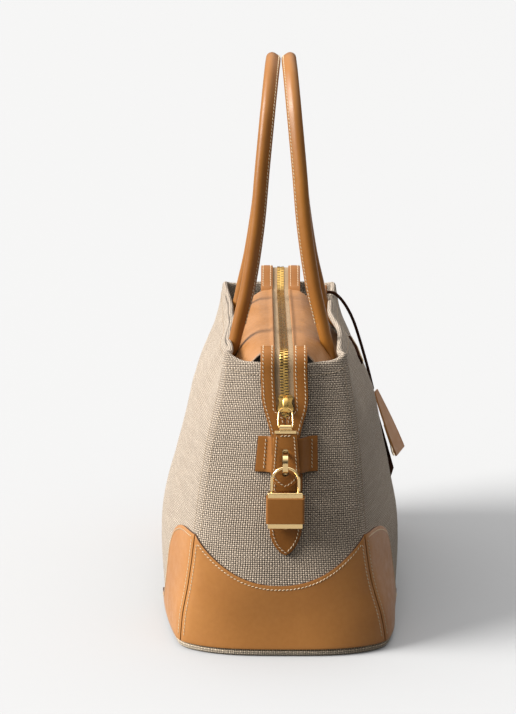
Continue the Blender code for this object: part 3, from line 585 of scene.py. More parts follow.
def make_skin():
    """Table of the outer skin: heights x places around x (x, y, z), and its normals."""
    heights = np.arange(0.0, 0.262, Z_STEP)
    table = np.zeros((len(heights), COLUMNS, 3))
    side = np.linspace(-1, 1, SIDE_COLUMNS, endpoint=False)
    end = np.linspace(-1, 1, END_COLUMNS, endpoint=False)
    offsets = np.arange(-24, 25)
    kernel = np.exp(-((offsets / 9.0) ** 2))
    kernel /= kernel.sum()
    for i, z in enumerate(heights):
        length, seam_x, seam_y, belly = read_levels(z)
        side_y = seam_y + (belly - seam_y) * (1 - np.abs(side) ** SIDE_ROUND)
        end_x = seam_x + (length - seam_x) * (1 - np.abs(end) ** (3.4 - 1.4 * rise(z, 0.00, 0.15)))
        x = np.concatenate([side * seam_x, end_x, -side * seam_x, -end_x])
        y = np.concatenate([-side_y, end * seam_y, side_y, -end * seam_y])
        x, y = (sum(w * np.roll(part, o) for w, o in zip(kernel, offsets)) for part in (x, y))
        y = y + soft_shape(x, y, z)
        soft = np.clip((z - 0.03) / 0.08, 0, 1)
        for j in range(COLUMNS):
            place = Vector((x[j] * 11, y[j] * 11, z * 9))
            dent = noise.noise(place) * DENT + noise.noise(place * 2.7) * SMALL_DENT
            radius = math.hypot(x[j] * 0.55, y[j]) or 1.0
            x[j] += soft * dent * x[j] * 0.55 / radius
            y[j] += soft * dent * y[j] / radius
        table[i, :, 0], table[i, :, 1], table[i, :, 2] = x, y, z
    around = np.roll(table, -2, 1) - np.roll(table, 2, 1)
    upward = np.gradient(table, axis=0)
    normals = np.cross(around, upward)
    normals /= np.linalg.norm(normals, axis=2, keepdims=True)
    return table, normals


SKIN, SKIN_N = make_skin()


def skin(turn, z, lift=0.0):
    """Points on the skin. turn counts faces: 0 to 1 the front from left to right, then the right end, the
    back and the left end."""
    turn, z = np.broadcast_arrays(np.asarray(turn, float) % 4, np.asarray(z, float))
    face = np.floor(turn).astype(int)
    counts = np.where(face % 2 == 0, SIDE_COLUMNS, END_COLUMNS)
    column = FACE_START[face] + (turn - face) * counts
    c0 = np.floor(column).astype(int)
    fc = (column - c0)[..., None]
    row = np.clip(z / Z_STEP, 0, len(SKIN) - 1.001)
    r0 = np.floor(row).astype(int)
    fr = (row - r0)[..., None]
    c1 = (c0 + 1) % COLUMNS
    c0 = c0 % COLUMNS

    def read(table):
        low = table[r0, c0] * (1 - fc) + table[r0, c1] * fc
        high = table[r0 + 1, c0] * (1 - fc) + table[r0 + 1, c1] * fc
        return low * (1 - fr) + high * fr

    n = read(SKIN_N)
    n = n / np.linalg.norm(n, axis=-1, keepdims=True)
    return read(SKIN) + n * lift, n


def skin_line(turns, heights, lift):
    """(point, normal) along a line over the skin."""
    points, normals = skin(turns, heights, lift)
    return [(Vector(p), Vector(n)) for p, n in zip(points, normals)]


def arc_lengths(points, axis):
    """How far each point of a grid is from the first one, along an axis of the grid."""
    steps = np.linalg.norm(np.diff(points, axis=axis), axis=-1)
    zero = np.zeros_like(np.take(steps, [0], axis=axis))
    return np.concatenate([zero, np.cumsum(steps, axis=axis)], axis=axis)


FACING_END = 0.2065  # the canvas facing inside the rim ends at this height
GIRTH_ROW = 40  # the weave is laid out along this row of the wall
MERGE = 1e-6  # points closer than this are made one
# How far the rim stands up at the corners: front left, front right, back right, back left.
CORNER_RISE = (0.0062, 0.0015, 0.0015, 0.0078)


def rim_height(turns):
    """Height of the rim around the bag: raised at the corners of the left end."""
    face = np.floor(turns).astype(int) % 4
    share = turns % 1
    start, stop = np.array(CORNER_RISE)[face], np.array(CORNER_RISE)[(face + 1) % 4]
    on_side = start * (1 - share) ** 14.0 + stop * share**14.0
    on_end = np.where(share < 0.5, start, stop) * np.abs(2 * share - 1) ** 3.0
    ripple = 0.0008 * np.sin(turns * math.pi * 3) + 0.0005 * np.sin(turns * math.pi * 8 + 1.0)
    return RIM_Z - 0.0004 + np.where(face % 2 == 0, on_side, on_end) + ripple


def turns_around(on_side, on_end, closed=False):
    """Places all the way round, this many on each side and on each end."""
    counts = (on_side, on_end, on_side, on_end)
    turns = np.concatenate([face + np.linspace(0, 1, n, endpoint=False) for face, n in enumerate(counts)])
    return np.append(turns, 4.0) if closed else turns


def arc_rows(centre, normal, angles, radius):
    """Rows of points on an arc round each centre, which starts level and turns upwards."""
    flat = normal * (1, 1, 0)
    flat /= np.linalg.norm(flat, axis=1, keepdims=True)
    up = np.array([0, 0, 1])
    return [centre + (flat * math.cos(a) + up * math.sin(a)) * radius for a in angles]


def make_canvas():
    """The sewn body: outside, folded rim and facing inside, in one closed sheet."""
    turns = turns_around(*WALL_STEPS)
    edge = rim_height(turns) - RIM_T / 2
    rows = [skin(turns, WALL_BOTTOM + (edge - WALL_BOTTOM) * share)[0] for share in np.linspace(0, 1, 76)]
    rows += arc_rows(*skin(turns, edge, -RIM_T / 2), np.linspace(0, math.pi, 9)[1:-1], RIM_T / 2)
    for share in np.linspace(0, 1, 14):
        rows.append(skin(turns, edge * (1 - share) + FACING_END * share, -RIM_T)[0])
    for share in np.linspace(0, 1, 24):
        rows.append(skin(turns, (FACING_END - 0.001) * (1 - share) + WALL_BOTTOM * share, -CANVAS_T)[0])
    rows.append(rows[0])
    # The first column is there twice, so that the weave runs all the way round.
    grid = np.array(rows)
    grid = np.concatenate([grid, grid[:, :1]], axis=1)
    body = sheet("canvas_body", grid, [CANVAS], uvs=(arc_lengths(grid[GIRTH_ROW], 0), arc_lengths(grid, 0)))
    tidy_normals(body.data, MERGE)
    body.data.shade_smooth()
    finish_piece(
        body, "bag", "linen_canvas",
        "canvas_front", "canvas_back", "canvas_left_end", "canvas_right_end", "rim_facing",
    )


def make_lining():
    """Cloth lining from the floor up to the canvas facing."""
    turns = turns_around(60, 30, closed=True)
    rows = [skin(turns, z, -CANVAS_T - 0.0009)[0] for z in np.linspace(0.0078, 0.2075, 36)]
    lining = sheet("lining", rows, [LINING])
    thicken(lining, LINING_T, 0)
    finish_piece(lining, "bag", "lining_cloth", "lining_walls")


def make_canvas_seams():
    """A row of stitches on both sides of each corner seam, and one below the rim."""
    lines = []
    heights = np.linspace(0.104, RIM_Z - 0.006, 60)
    for corner in range(4):
        # The ends are narrower than the sides, so the same distance is a larger share of them.
        after, before = (0.030, 0.0135) if corner % 2 else (0.0135, 0.030)
        lines += [skin_line(corner + after, heights, 0.0), skin_line(corner - before, heights, 0.0)]
    turns = np.linspace(0, 4, 700)
    lines.append(skin_line(turns, rim_height(turns) - 0.0105, 0.0))
    seams = stitches("canvas_stitches", lines, "bag", slant=4, length=0.0023, radius=0.00036)
    seams.data.materials[0] = CANVAS_THREAD


# ---------------------------------------------------------------- leather patches
END_PATCH_LOW, END_PATCH_RISE = 0.0625, 0.0400
WING_TOP = [
    (0.000, 0.1022), (0.010, 0.1025), (0.022, 0.1020), (0.034, 0.0998), (0.044, 0.0960),
    (0.051, 0.0915), (0.056, 0.0850), (0.059, 0.0760), (0.0605, 0.0650), (0.0620, 0.0530),
    (0.0655, 0.0410), (0.0730, 0.0300), (0.085, 0.0215), (0.102, 0.0155), (0.122, 0.0125),
]
PATCH_LIFT = 0.0003 + LEATHER_T
PATCH_SEAM, PATCH_SEAM_FOOT, WING_SEAM = 0.0034, 0.0105, 0.0032  # rows of stitches inside the edges
SIDE_LENGTH, END_WIDTH = 0.366, 0.140  # lengths along a side and an end that one whole turn stands for


def curve_value(table, key):
    """Smoothly reads a table of (key, value)."""
    share, rows = span_of(table, key)
    return float(catmull(*rows, min(max(share, 0.0), 1.0))[0])


def patch(name, turns, tops, node):
    """A leather patch from the foot of the wall up to the given heights."""
    shares = np.linspace(0, 1, 30)
    rows = [skin(turns, WALL_BOTTOM * (1 - share) + np.array(tops) * share, PATCH_LIFT)[0] for share in shares]
    obj = sheet(name, rows, [LEATHER, EDGE])
    thicken(obj, LEATHER_T, 0.00035, rim=1)
    # Only the upper edge is painted.
    for side in obj.data.polygons:
        if side.material_index == 1 and side.normal.z < 0.12:
            side.material_index = 0
    finish_piece(obj, "bag", "tan_leather", node)


def end_top(share):
    return END_PATCH_LOW + END_PATCH_RISE * abs(share) ** 2.1


def make_patches():
    """A patch across each end and a wing round each corner, with a row of stitches inside their edges."""
    lines = []
    for side, face in (("left", 3), ("right", 1)):
        shares = np.linspace(-0.992, 0.992, 60)
        patch(f"leather_{side}_end", face + (shares + 1) / 2, end_top(shares), f"patch_{side}_end")
        inner = np.linspace(-0.955, 0.955, 90)
        lines.append(skin_line(face + (inner + 1) / 2, end_top(inner) - PATCH_SEAM, PATCH_LIFT))
        for share in (-0.955, 0.955):
            heights = np.linspace(PATCH_SEAM_FOOT, end_top(share) - PATCH_SEAM, 50)
            lines.append(skin_line(face + (share + 1) / 2, heights, PATCH_LIFT))
    wing_length = WING_TOP[-1][0]
    for side, front_corner, back_corner in (("left", 0, 3), ("right", 1, 2)):
        for label, corner in (("front", front_corner), ("back", back_corner)):
            step = 1 if corner in (0, 2) else -1
            distances = np.linspace(0.0004, wing_length, 60)
            tops = [curve_value(WING_TOP, d) for d in distances]
            turns = corner + step * distances / SIDE_LENGTH
            patch(f"leather_{side}_{label}", turns[::step], tops[::step], f"patch_{side}_{label}")
            inner = np.linspace(WING_SEAM, wing_length - 0.004, 90)
            heights = [max(curve_value(WING_TOP, d) - PATCH_SEAM, 0.0095) for d in inner]
            lines.append(skin_line(corner + step * inner / SIDE_LENGTH, heights, PATCH_LIFT))
            heights = np.linspace(PATCH_SEAM_FOOT, 0.0985, 50)
            lines.append(skin_line(corner + step * WING_SEAM / SIDE_LENGTH, heights, PATCH_LIFT))
    stitches("patch_stitches", lines, "bag")


def make_base():
    """Canvas-covered piping round the foot."""
    centre, normal = skin(turns_around(*WALL_STEPS, closed=True), PIPING_R, -0.0030)
    angles = np.linspace(0, 2 * math.pi, 17)
    grid = np.array(arc_rows(centre, normal, angles, PIPING_R))
    obj = sheet("piping", grid, [PIPING], uvs=(arc_lengths(grid[0], 0), angles[:, None] * PIPING_R))
    tidy_normals(obj.data)
    finish_piece(obj, "bag", "linen_canvas", "base_piping")


# ---------------------------------------------------------------- the zip's line
# The zip from the foot of the left drop, over the rim, along the top and down the right end: (x, z).
ZIP_LINE = [
    (-0.1991, 0.1770), (-0.1975, 0.1910), (-0.1955, 0.2090), (-0.1934, 0.2280), (-0.1917, 0.2430),
    (-0.1905, 0.2530), (-0.1868, 0.2597), (-0.1800, 0.2622), (-0.1720, 0.2610), (-0.1600, 0.2588),
    (-0.1200, 0.2568), (-0.0600, 0.2552), (0.0000, 0.2535), (0.0600, 0.2512), (0.1100, 0.2488),
    (0.1420, 0.2474), (0.1560, 0.2500), (0.1680, 0.2580), (0.1770, 0.2640), (0.1840, 0.2652),
    (0.1895, 0.2610), (0.1912, 0.2520), (0.1925, 0.2370), (0.1955, 0.2090), (0.1991, 0.1770),
]
FLAP_FROM, FLAP_TO = -0.152, 0.140  # between these the top moves with the flaps
DROP_STRAIGHT = 0.2430  # below this the zip runs straight down
PULL_Y = -0.0044  # the zip's foot and what hangs from it lean this far to the front


def lean(x, z):
    """The zip leans towards the front on its way to the left end."""
    top = -0.0030 * min(max((0.14 - x) / 0.30, 0.0), 1.0)
    if x > -0.16:
        return top
    return top + (PULL_Y + 0.0030) * min(max((DROP_STRAIGHT - z) / 0.03, 0.0), 1.0)


def zip_path(spacing=0.0015):
    """(point, outward) along the zip, evenly spaced."""
    rough = smooth([(x, 0, z) for x, z in ZIP_LINE], 14)
    marks = marks_along(rough)
    count = int(marks[-1] / spacing)
    places = [marks[-1] * i / count for i in range(count + 1)]
    made = [rough[k].lerp(rough[k + 1], share) for k, share in between(marks, places)]
    tangents = [tangent(made, i) for i in range(len(made))]
    return [(p, Vector((-t.z, 0, t.x))) for p, t in zip(made, tangents)]


ZIP_PATH = zip_path()
STRIP_IN, STRIP_OUT, STRIP_T = 0.0077, 0.0195, 0.0014
STRIP_SEAM = 0.0022  # from a strip's edges to its stitches
STRIP_BOW = 0.0004  # how much higher the middle of a strip is than its edges
STRIP_FROM = -0.1665  # at the left end the strips start here


def zip_height(x):
    """Height of the zip on the top of the bag."""
    return min((abs(p.x - x), p.z) for p, out in ZIP_PATH if out.z > 0.3)[1]


def strip_edges(p):
    """(inner, outer) distances of a strip's edges from the middle of the zip."""
    if p.z > DROP_STRAIGHT or abs(p.x) < 0.18:
        return STRIP_IN, STRIP_OUT
    closing = float(rise(0.2150 - p.z, 0, 0.009)) if p.x < 0 else 0.0
    inner = STRIP_IN - (STRIP_IN - 0.0002) * closing
    return inner, STRIP_OUT - 0.0078 * float(rise(0.226 - p.z, 0, 0.040))


def tape_edges(_):
    """As strip_edges and strip_lift, but for the tape, which is the same all along."""
    return 0.0031, 0.0115


def tape_lift(_):
    return 0.0003


def strip_lift(p):
    """Height of a strip's face over the zip. At the right end the strips come out from under the panels."""
    hidden = 1 - float(rise(p.x, 0.1460, 0.1540)) if p.x > 0 else 0.0
    return 0.0021 - 0.0034 * hidden


def over_zip(p, out, height, y):
    """A point beside the zip, y from its middle."""
    return p + out * height + Vector((0, y + lean(p.x, p.z), 0))


def ribbon(name, part, edges, lift, thickness, flip, materials, columns, bow=0.0):
    """A band along part of the zip path between its two edges, on one side of the middle."""
    rows = []
    for p, out in part:
        inner, outer = edges(p)
        row = []
        for k in range(columns):
            share = k / (columns - 1)
            height = lift(p) + bow * math.sin(math.pi * share)
            row.append(over_zip(p, out, height, flip * (inner + (outer - inner) * share)))
        rows.append(row)
    obj = sheet(name, rows, materials, flip=flip < 0)
    if obj.data.polygons[0].normal.dot(part[0][1]) < 0:
        obj.data.flip_normals()
    return thicken(obj, thickness, rim=len(materials) - 1)


def path_index(x):
    """Where the top of the zip passes x."""
    return min((abs(p.x - x), i) for i, (p, out) in enumerate(ZIP_PATH) if out.z > 0.3)[1]


def strip_seams(part, flip):
    """The two rows of stitches of a strip, the inner one first."""
    lines = ([], [])
    for p, out in part:
        inner, outer = strip_edges(p)
        for line, y in zip(lines, (inner + STRIP_SEAM, outer - STRIP_SEAM)):
            line.append((over_zip(p, out, 0.0023, flip * y), out))
    return lines


def blend_zip(obj, side):
    """Bakes the transform of a piece at an end of the zip into its mesh."""
    if side == "left":
        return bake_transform(obj)
    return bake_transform(obj)


def make_teeth(name, part, flip):
    """Metal teeth of one half of the chain."""
    # (distance from the middle, half width along the zip, half height) across a tooth, narrow to wide
    stations = [
        (-0.0008, 0.00040, 0.0008), (0.0008, 0.00048, 0.0010), (0.0012, 0.00064, 0.0012),
        (0.0031, 0.00064, 0.0012), (0.0035, 0.00045, 0.0009),
    ]
    corners = ((-1, -1), (1, -1), (1, 1), (-1, 1))
    points, faces = [], []
    tooth_faces = tube_faces(len(stations), 4)
    # The two halves take turns.
    for p, t, n in along(part, TOOTH_PITCH / 2)[0 if flip < 0 else 1 :: 2]:
        start = len(points)
        for out, half, height in stations:
            base = over_zip(p, n, 0, flip * out)
            points += [base + t * half * a + n * height * b for a, b in corners]
        faces += [tuple(start + k for k in f) for f in tooth_faces]
    obj = add_mesh(name, points, faces, [TEETH])
    tidy_normals(obj.data)
    shade(obj.data, 30)
    return obj


def make_zip():
    """Teeth, tape and leather strips, in a left, middle and right stretch on each side."""
    first, last = path_index(FLAP_FROM), path_index(FLAP_TO)
    slider_top = min(i for i, (p, _) in enumerate(ZIP_PATH) if p.z > 0.2150)
    stretches = {"left": ZIP_PATH[: first + 1], "top": ZIP_PATH[first : last + 1], "right": ZIP_PATH[last:]}
    for face, flip in (("front", -1), ("back", 1)):
        for side, part in stretches.items():
            name = f"{side}_{face}"
            tape_part = part[slider_top - 6 :] if side == "left" else part
            tape = ribbon(f"zip_tape_{name}", tape_part, tape_edges, tape_lift, 0.0006, flip, [TAPE], 6)
            teeth = make_teeth(f"zip_teeth_{name}", tape_part, flip)
            if side == "top":
                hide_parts(f"zip_tape_{face}")
                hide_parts(f"zip_chain_{face}")
                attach(tape, f"flap_{face}")
                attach(teeth, f"flap_{face}")
                continue
            held = [place for place in part if side == "right" or place[0].x < STRIP_FROM]
            strip = ribbon(
                f"strip_{name}", held, strip_edges, strip_lift, STRIP_T, flip, [STRAP, EDGE], 11, STRIP_BOW
            )
            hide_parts(f"zip_strip_{name}")
            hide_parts(f"zip_drop_{name}")
            seam_part = held[10:] if side == "left" else held[10:-10]
            thread = stitches(f"strip_stitches_{name}", strip_seams(seam_part, flip))
            for piece in (tape, teeth, strip, thread):
                blend_zip(piece, side)


# ---------------------------------------------------------------- the leather top
# How the top falls from the zip to the wall: (distance from the middle, drop below the zip).
TOP_SHAPE = [
    (0.0077, -0.0014), (0.0084, -0.0026), (0.0096, -0.0024), (0.0118, -0.0016), (0.0160, -0.0014),
    (0.0205, -0.0006), (0.0255, 0.0018), (0.0300, 0.0052), (0.0345, 0.0102), (0.0395, 0.0175),
    (0.0460, 0.0265), (0.0540, 0.0355), (0.0610, 0.0435),
]


def make_top():
    """Two soft leather panels, from a folded edge beside the zip down to the wall inside the rim."""
    shape = smooth([(y, d, 0) for y, d in TOP_SHAPE], 5)
    for face, flip in (("front", -1), ("back", 1)):
        rows = []
        for x in np.linspace(-0.1745, 0.1500, 124):
            z0 = zip_height(max(min(x, 0.142), -0.158))
            near, far = float(rise(-x, 0.115, 0.172)), float(rise(x, 0.128, 0.150))
            middle = lean(max(x, -0.1599), 0.26)
            turn = 0.5 + x / SIDE_LENGTH if flip < 0 else 2.5 - x / SIDE_LENGTH
            wall = abs(skin(turn, 0.215, -0.0062)[0][1])
            row = []
            for k, q in enumerate(shape):
                share = k / (len(shape) - 1)
                y = q.x * (1 - share) + q.x * share * (wall / TOP_SHAPE[-1][0])
                outward = float(rise(q.x, 0.012, 0.034))
                drop = q.y + 0.0042 * near * outward
                x_here = x - (x - 0.128) * far * outward * 0.55
                crease = noise.noise(Vector((x * 17, flip * y * 40, 3.1))) * 0.0009
                crease += noise.noise(Vector((x * 46 + y * 60, flip * y * 46, 7.7))) * 0.0003
                fade = min(max((q.x - 0.010) / 0.01, 0.0), 1.0)
                row.append((x_here, flip * y + middle * (1 - share), z0 - drop + crease * fade))
            rows.append(row)
        obj = sheet(f"top_panel_{face}", rows, [PANEL, PALE_EDGE_AND_HIGHLIGHT], flip=flip < 0)
        if obj.data.polygons[10].normal.z < 0:
            obj.data.flip_normals()
        thicken(obj, 0.0013, rim=1)
        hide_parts(f"closure_flap_{face}", f"closure_skirt_{face}")
        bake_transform(obj)


# ---------------------------------------------------------------- handles
HANDLE_SHAPE = [
    (0.0900, 0.2535, 0.0393), (0.0896, 0.2676, 0.0364), (0.0884, 0.3000, 0.0292),
    (0.0837, 0.3500, 0.0217), (0.0756, 0.4000, 0.0172), (0.0612, 0.4460, 0.0128),
    (0.0396, 0.4753, 0.0098), (0.0180, 0.4863, 0.0084), (0.0000, 0.4882, 0.0082),
]
# Root of a handle inside the rim: (distance from the middle, height, half width, half thickness).
ROOT_SHAPE = [
    (0.0600, 0.2165, 0.0120, 0.0014), (0.0555, 0.2225, 0.0120, 0.0016),
    (0.0500, 0.2290, 0.0108, 0.0022), (0.0455, 0.2350, 0.0078, 0.0036),
    (0.0426, 0.2410, 0.0058, 0.0050), (0.0408, 0.2475, 0.0055, 0.0054),
]


def handle_path(flip):
    """Points from the left root over the top to the right root, and (half width, half thickness, flange)."""
    half = [((-0.0900, flip * y, z), (w, t, 0.0)) for y, z, w, t in ROOT_SHAPE]
    for (x, z, y), flange in zip(HANDLE_SHAPE, [0.0, 0.4] + [1.0] * len(HANDLE_SHAPE)):
        half.append(((-x, flip * y, z), (HANDLE_R, HANDLE_R, flange)))
    rows = half + [((-x, y, z), size) for (x, y, z), size in reversed(half[:-1])]
    return smooth([p for p, _ in rows], 8), smooth([size for _, size in rows], 8)


def handle_section(size):
    """Round tube with a stitched flange towards the middle of the bag. Points are (along X, inward)."""
    width, thick, flange = size
    nose = FLANGE * max(flange, 0.0)
    return [(width * a, thick * b + nose * max(b, 0.0) ** 6) for a, b in round_section(1.0, 28)]


def make_handles():
    for face, flip in (("front", -1), ("back", 1)):
        points, sizes = handle_path(flip)
        rings, lines = [], ([], [])
        for i, (p, size) in enumerate(zip(points, sizes)):
            t = tangent(points, i)
            inward = square_to(t, Vector((0, -flip, 0)))
            across = t.cross(inward).normalized()
            rings.append([p + across * a + inward * b for a, b in handle_section(size)])
            if p.z > HANDLE_SEAM_FROM:
                for line, sign in zip(lines, (-1, 1)):
                    spot = p + inward * (HANDLE_R + 0.0009) + across * sign * HANDLE_SEAM
                    line.append((spot, (across * sign + inward * 0.45).normalized()))
        obj = loft(f"handle_{face}", rings, HANDLE)
        roots = [f"handle_{face}_root_{side}" for side in ("left", "right")]
        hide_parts(f"handle_{face}_cover", *roots)
        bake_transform(obj)
        stitches(f"handle_stitches_{face}", lines, f"handle_{face}", slant=18, length=0.0026, radius=0.00042)


# ---------------------------------------------------------------- end trim
def curve_object(name, dimensions, depth, resolution, outlines):
    """A curve of straight pieces through each list of points (x, y, z)."""
    curve = bpy.data.curves.new(name, "CURVE")
    curve.dimensions = dimensions
    curve.bevel_depth = depth
    curve.bevel_resolution = resolution
    for points in outlines:
        spline = curve.splines.new("POLY")
        spline.points.add(len(points) - 1)
        for spot, p in zip(spline.points, points):
            spot.co = (*p, 1)
    return new_object(name, curve)


def flat_piece(name, outline, holes, thickness, materials, bevel=0.0003):
    """A flat cut piece in the YZ plane, its middle at x = 0, from outlines of (y, z)."""
    outlines = [[(y, z, 0) for y, z in points] for points in (outline, *holes)]
    obj = curve_object(name, "2D", bevel, 1, outlines)
    obj.data.fill_mode = "BOTH"
    obj.data.extrude = thickness / 2 - bevel
    for spline in obj.data.splines:
        spline.use_cyclic_u = True
    bpy.context.view_layer.update()
    graph = bpy.context.evaluated_depsgraph_get()
    mesh = bpy.data.meshes.new_from_object(obj.evaluated_get(graph))
    bpy.data.objects.remove(obj)
    tidy_normals(mesh, MERGE)
    # The curve's plane (X, Y) becomes (Y, Z).
    mesh.transform(Matrix(((0, 0, 1, 0), (1, 0, 0, 0), (0, 1, 0, 0), (0, 0, 0, 1))))
    mesh.materials.clear()
    for mat in materials:
        mesh.materials.append(mat)
    if len(materials) > 1:
        for face in mesh.polygons:
            face.material_index = 1 if abs(face.normal.x) < 0.35 else 0
    shade(mesh, 35)
    return new_object(name, mesh)


def tongue(top, tip, half_top, half_low, point_length, count=18):
    """Outline of a strap end, (y, z), from its top left corner round the pointed tip."""
    straight = tip + point_length
    shares = [i / 6 for i in range(7)]
    left = [(-(half_top + (half_low - half_top) * s), top + (straight - top) * s) for s in shares]
    for i in range(1, count):
        s = i / count
        left.append((-half_low * (1 - s**1.9) ** 0.72, straight + (tip - straight) * s))
    return left + [(0.0, tip)] + [(-y, z) for y, z in reversed(left)]


def inset_outline(outline, amount):
    """Points of an open outline moved inwards (towards its right-hand side as it runs)."""
    pts = [Vector(p) for p in outline]
    tangents = [tangent(pts, i) for i in range(len(pts))]
    return [p + Vector((-t.y, t.x)) * amount for p, t in zip(pts, tangents)]


KEEPER_DROP = 0.0025  # the keeper band is this much lower than its plain solid


def on_end(sign, y, z, lift):
    """(point, normal) over the skin of the left (-1) or right (1) end, y across it."""
    point, normal = skin((3.5 if sign < 0 else 1.5) + sign * y / END_WIDTH, z, lift)
    return Vector(point), Vector(normal)


def make_end_trim():
    """On both ends a pointed tab and the keeper band over the foot of the zip."""
    outline = tongue(0.1765, 0.0900, 0.0130, 0.0130, 0.024)
    for side, sign, lean_y in (("left", -1, PULL_Y), ("right", 1, 0.0)):
        tab = flat_piece(f"tab_{side}", outline, [], 0.0024, [STRAP, EDGE])
        cut = tab.modifiers.new("rows", "SUBSURF")
        cut.subdivision_type = "SIMPLE"
        cut.levels = cut.render_levels = 2
        bake(tab)
        for v in tab.data.vertices:
            p, n = on_end(sign, v.co.y + lean_y, v.co.z, 0.0004 + 0.0012)
            v.co = p + n * v.co.x
        tidy_normals(tab.data)
        finish_piece(tab, "bag", "tan_leather", f"end_tab_{side}")
        inner = [q for q in inset_outline(outline, 0.0023) if q.y <= 0.165]
        stitches(f"tab_stitches_{side}", [[on_end(sign, q.x + lean_y, q.y, 0.0029) for q in inner]], "bag")

        low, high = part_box(f"keeper_{side}")
        bottom, top = low.z - KEEPER_DROP, high.z - KEEPER_DROP
        half = (high.y - low.y) / 2
        rows = []
        for z in np.linspace(bottom, top, 12):
            row = []
            for y in np.linspace(-half - 0.0008, half + 0.0030, 65) * -sign:
                # The middle of the band stands out over what it holds.
                lifted = float(rise(-abs(y), -0.0203, -0.0108))
                p, _ = on_end(sign, y + lean_y, z, 0.0021)
                row.append((p.x + (sign * KEEPER_FRONT - p.x) * lifted, p.y, z))
            rows.append(row)
        obj = sheet(f"keeper_band_{side}", rows, [STRAP, EDGE])
        if sum(f.normal.x * sign for f in obj.data.polygons) < 0:
            obj.data.flip_normals()
        thicken(obj, 0.0016, rim=1)
        finish_piece(obj, "bag", "tan_leather", f"keeper_{side}")
        heights = np.linspace(bottom + 0.001, top - 0.001, 20)
        lines = [[on_end(sign, y + lean_y, z, 0.0023) for z in heights] for y in (-0.0215, 0.0215)]
        stitches(f"keeper_stitches_{side}", lines, "bag")


# ---------------------------------------------------------------- zip pull and padlock
def bevelled_box(name, low, high, material, bevel=0.0004, segments=3):
    low, high = Vector(low), Vector(high)
    mesh = bpy.data.meshes.new(name)
    built = bmesh.new()
    bmesh.ops.create_cube(built, size=1.0)
    bmesh.ops.scale(built, vec=high - low, verts=built.verts)
    bmesh.ops.translate(built, vec=(low + high) / 2, verts=built.verts)
    bmesh.ops.bevel(built, geom=built.edges[:], offset=bevel, segments=segments, affect="EDGES", profile=0.5)
    built.to_mesh(mesh)
    built.free()
    mesh.materials.append(material)
    shade(mesh)
    return new_object(name, mesh)


def join(objects, name):
    """One object from several."""
    built = bmesh.new()
    materials = []
    for obj in objects:
        obj.data.transform(obj.matrix_basis)
        start = len(built.faces)
        built.from_mesh(obj.data)
        built.faces.ensure_lookup_table()
        materials += [mat for mat in obj.data.materials if mat not in materials]
        slots = [materials.index(mat) for mat in obj.data.materials]
        for f in built.faces[start:]:
            f.material_index = slots[f.material_index]
    mesh = bpy.data.meshes.new(name)
    built.to_mesh(mesh)
    built.free()
    for mat in materials:
        mesh.materials.append(mat)
    for obj in objects:
        bpy.data.objects.remove(obj)
    shade(mesh)
    return new_object(name, mesh)


# Section of the slider's arch, for a half width and a half thickness of 1.
BAIL_CORNERS = [(-1, -0.4), (-0.7, -1), (0.7, -1), (1, -0.4), (1, 0.4), (0.7, 1), (-0.7, 1), (-1, 0.4)]


def make_slider():
    """Front and back plates, the post between them and the arch that holds the ring."""
    low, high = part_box("zip_slider")
    z = (low.z + high.z) / 2
    x = min(ZIP_PATH[:60], key=lambda place: abs(place[0].z - z))[0].x
    right = [
        (0.0050, -0.0065), (0.0061, -0.0052), (0.0060, -0.0030), (0.0048, 0.0008), (0.0050, 0.0030),
        (0.0058, 0.0048), (0.0050, 0.0066), (0.0018, 0.0066),
    ]
    left = [(-y, z_low) for y, z_low in reversed(right)]
    outline = [left[-1], *right, (0.0, 0.0052), *left[:-1]]
    front = flat_piece("slider_face", outline, [], 0.0018, [TEETH], 0.0005)
    front.matrix_basis = Matrix.Translation((-0.0024, 0, 0))
    back = flat_piece("slider_back", outline, [], 0.0010, [TEETH], 0.0002)
    back.matrix_basis = Matrix.Translation((0.0021, 0, 0))
    post = bevelled_box("slider_post", (-0.0020, -0.0003, -0.0058), (0.0020, 0.0003, -0.0030), TEETH, 0.0001)
    arch = [
        (-0.0024, 0.0052), (-0.0040, 0.0054), (-0.0062, 0.0036), (-0.0074, 0.0000),
        (-0.0076, -0.0034), (-0.0064, -0.0062), (-0.0044, -0.0067), (-0.0026, -0.0060),
    ]

    def bail_section(share):
        half = 0.0015 + 0.0008 * math.sin(math.pi * share)
        return [(half * a, 0.0008 * b) for a, b in BAIL_CORNERS]

    bail = sweep("slider_bail", smooth([(a, 0, b) for a, b in arch], 5), bail_section, TEETH)
    slider = join([front, back, post, bail], "slider")
    tilt = Matrix.Rotation(math.atan(0.1125), 4, "Y")  # the wall's slope
    slider.data.transform(Matrix.Translation((x, PULL_Y, z)) @ tilt)
    finish_piece(slider, "slider", "gold_metal", "zip_slider")


PULL_LIFT = 0.0013  # the pull sits this much higher than its plain solid
RING_EDGE = 0.0007  # from the middle of the ring's wire to the box of its plain solid
LEANING = Vector((0, PULL_Y, 0))


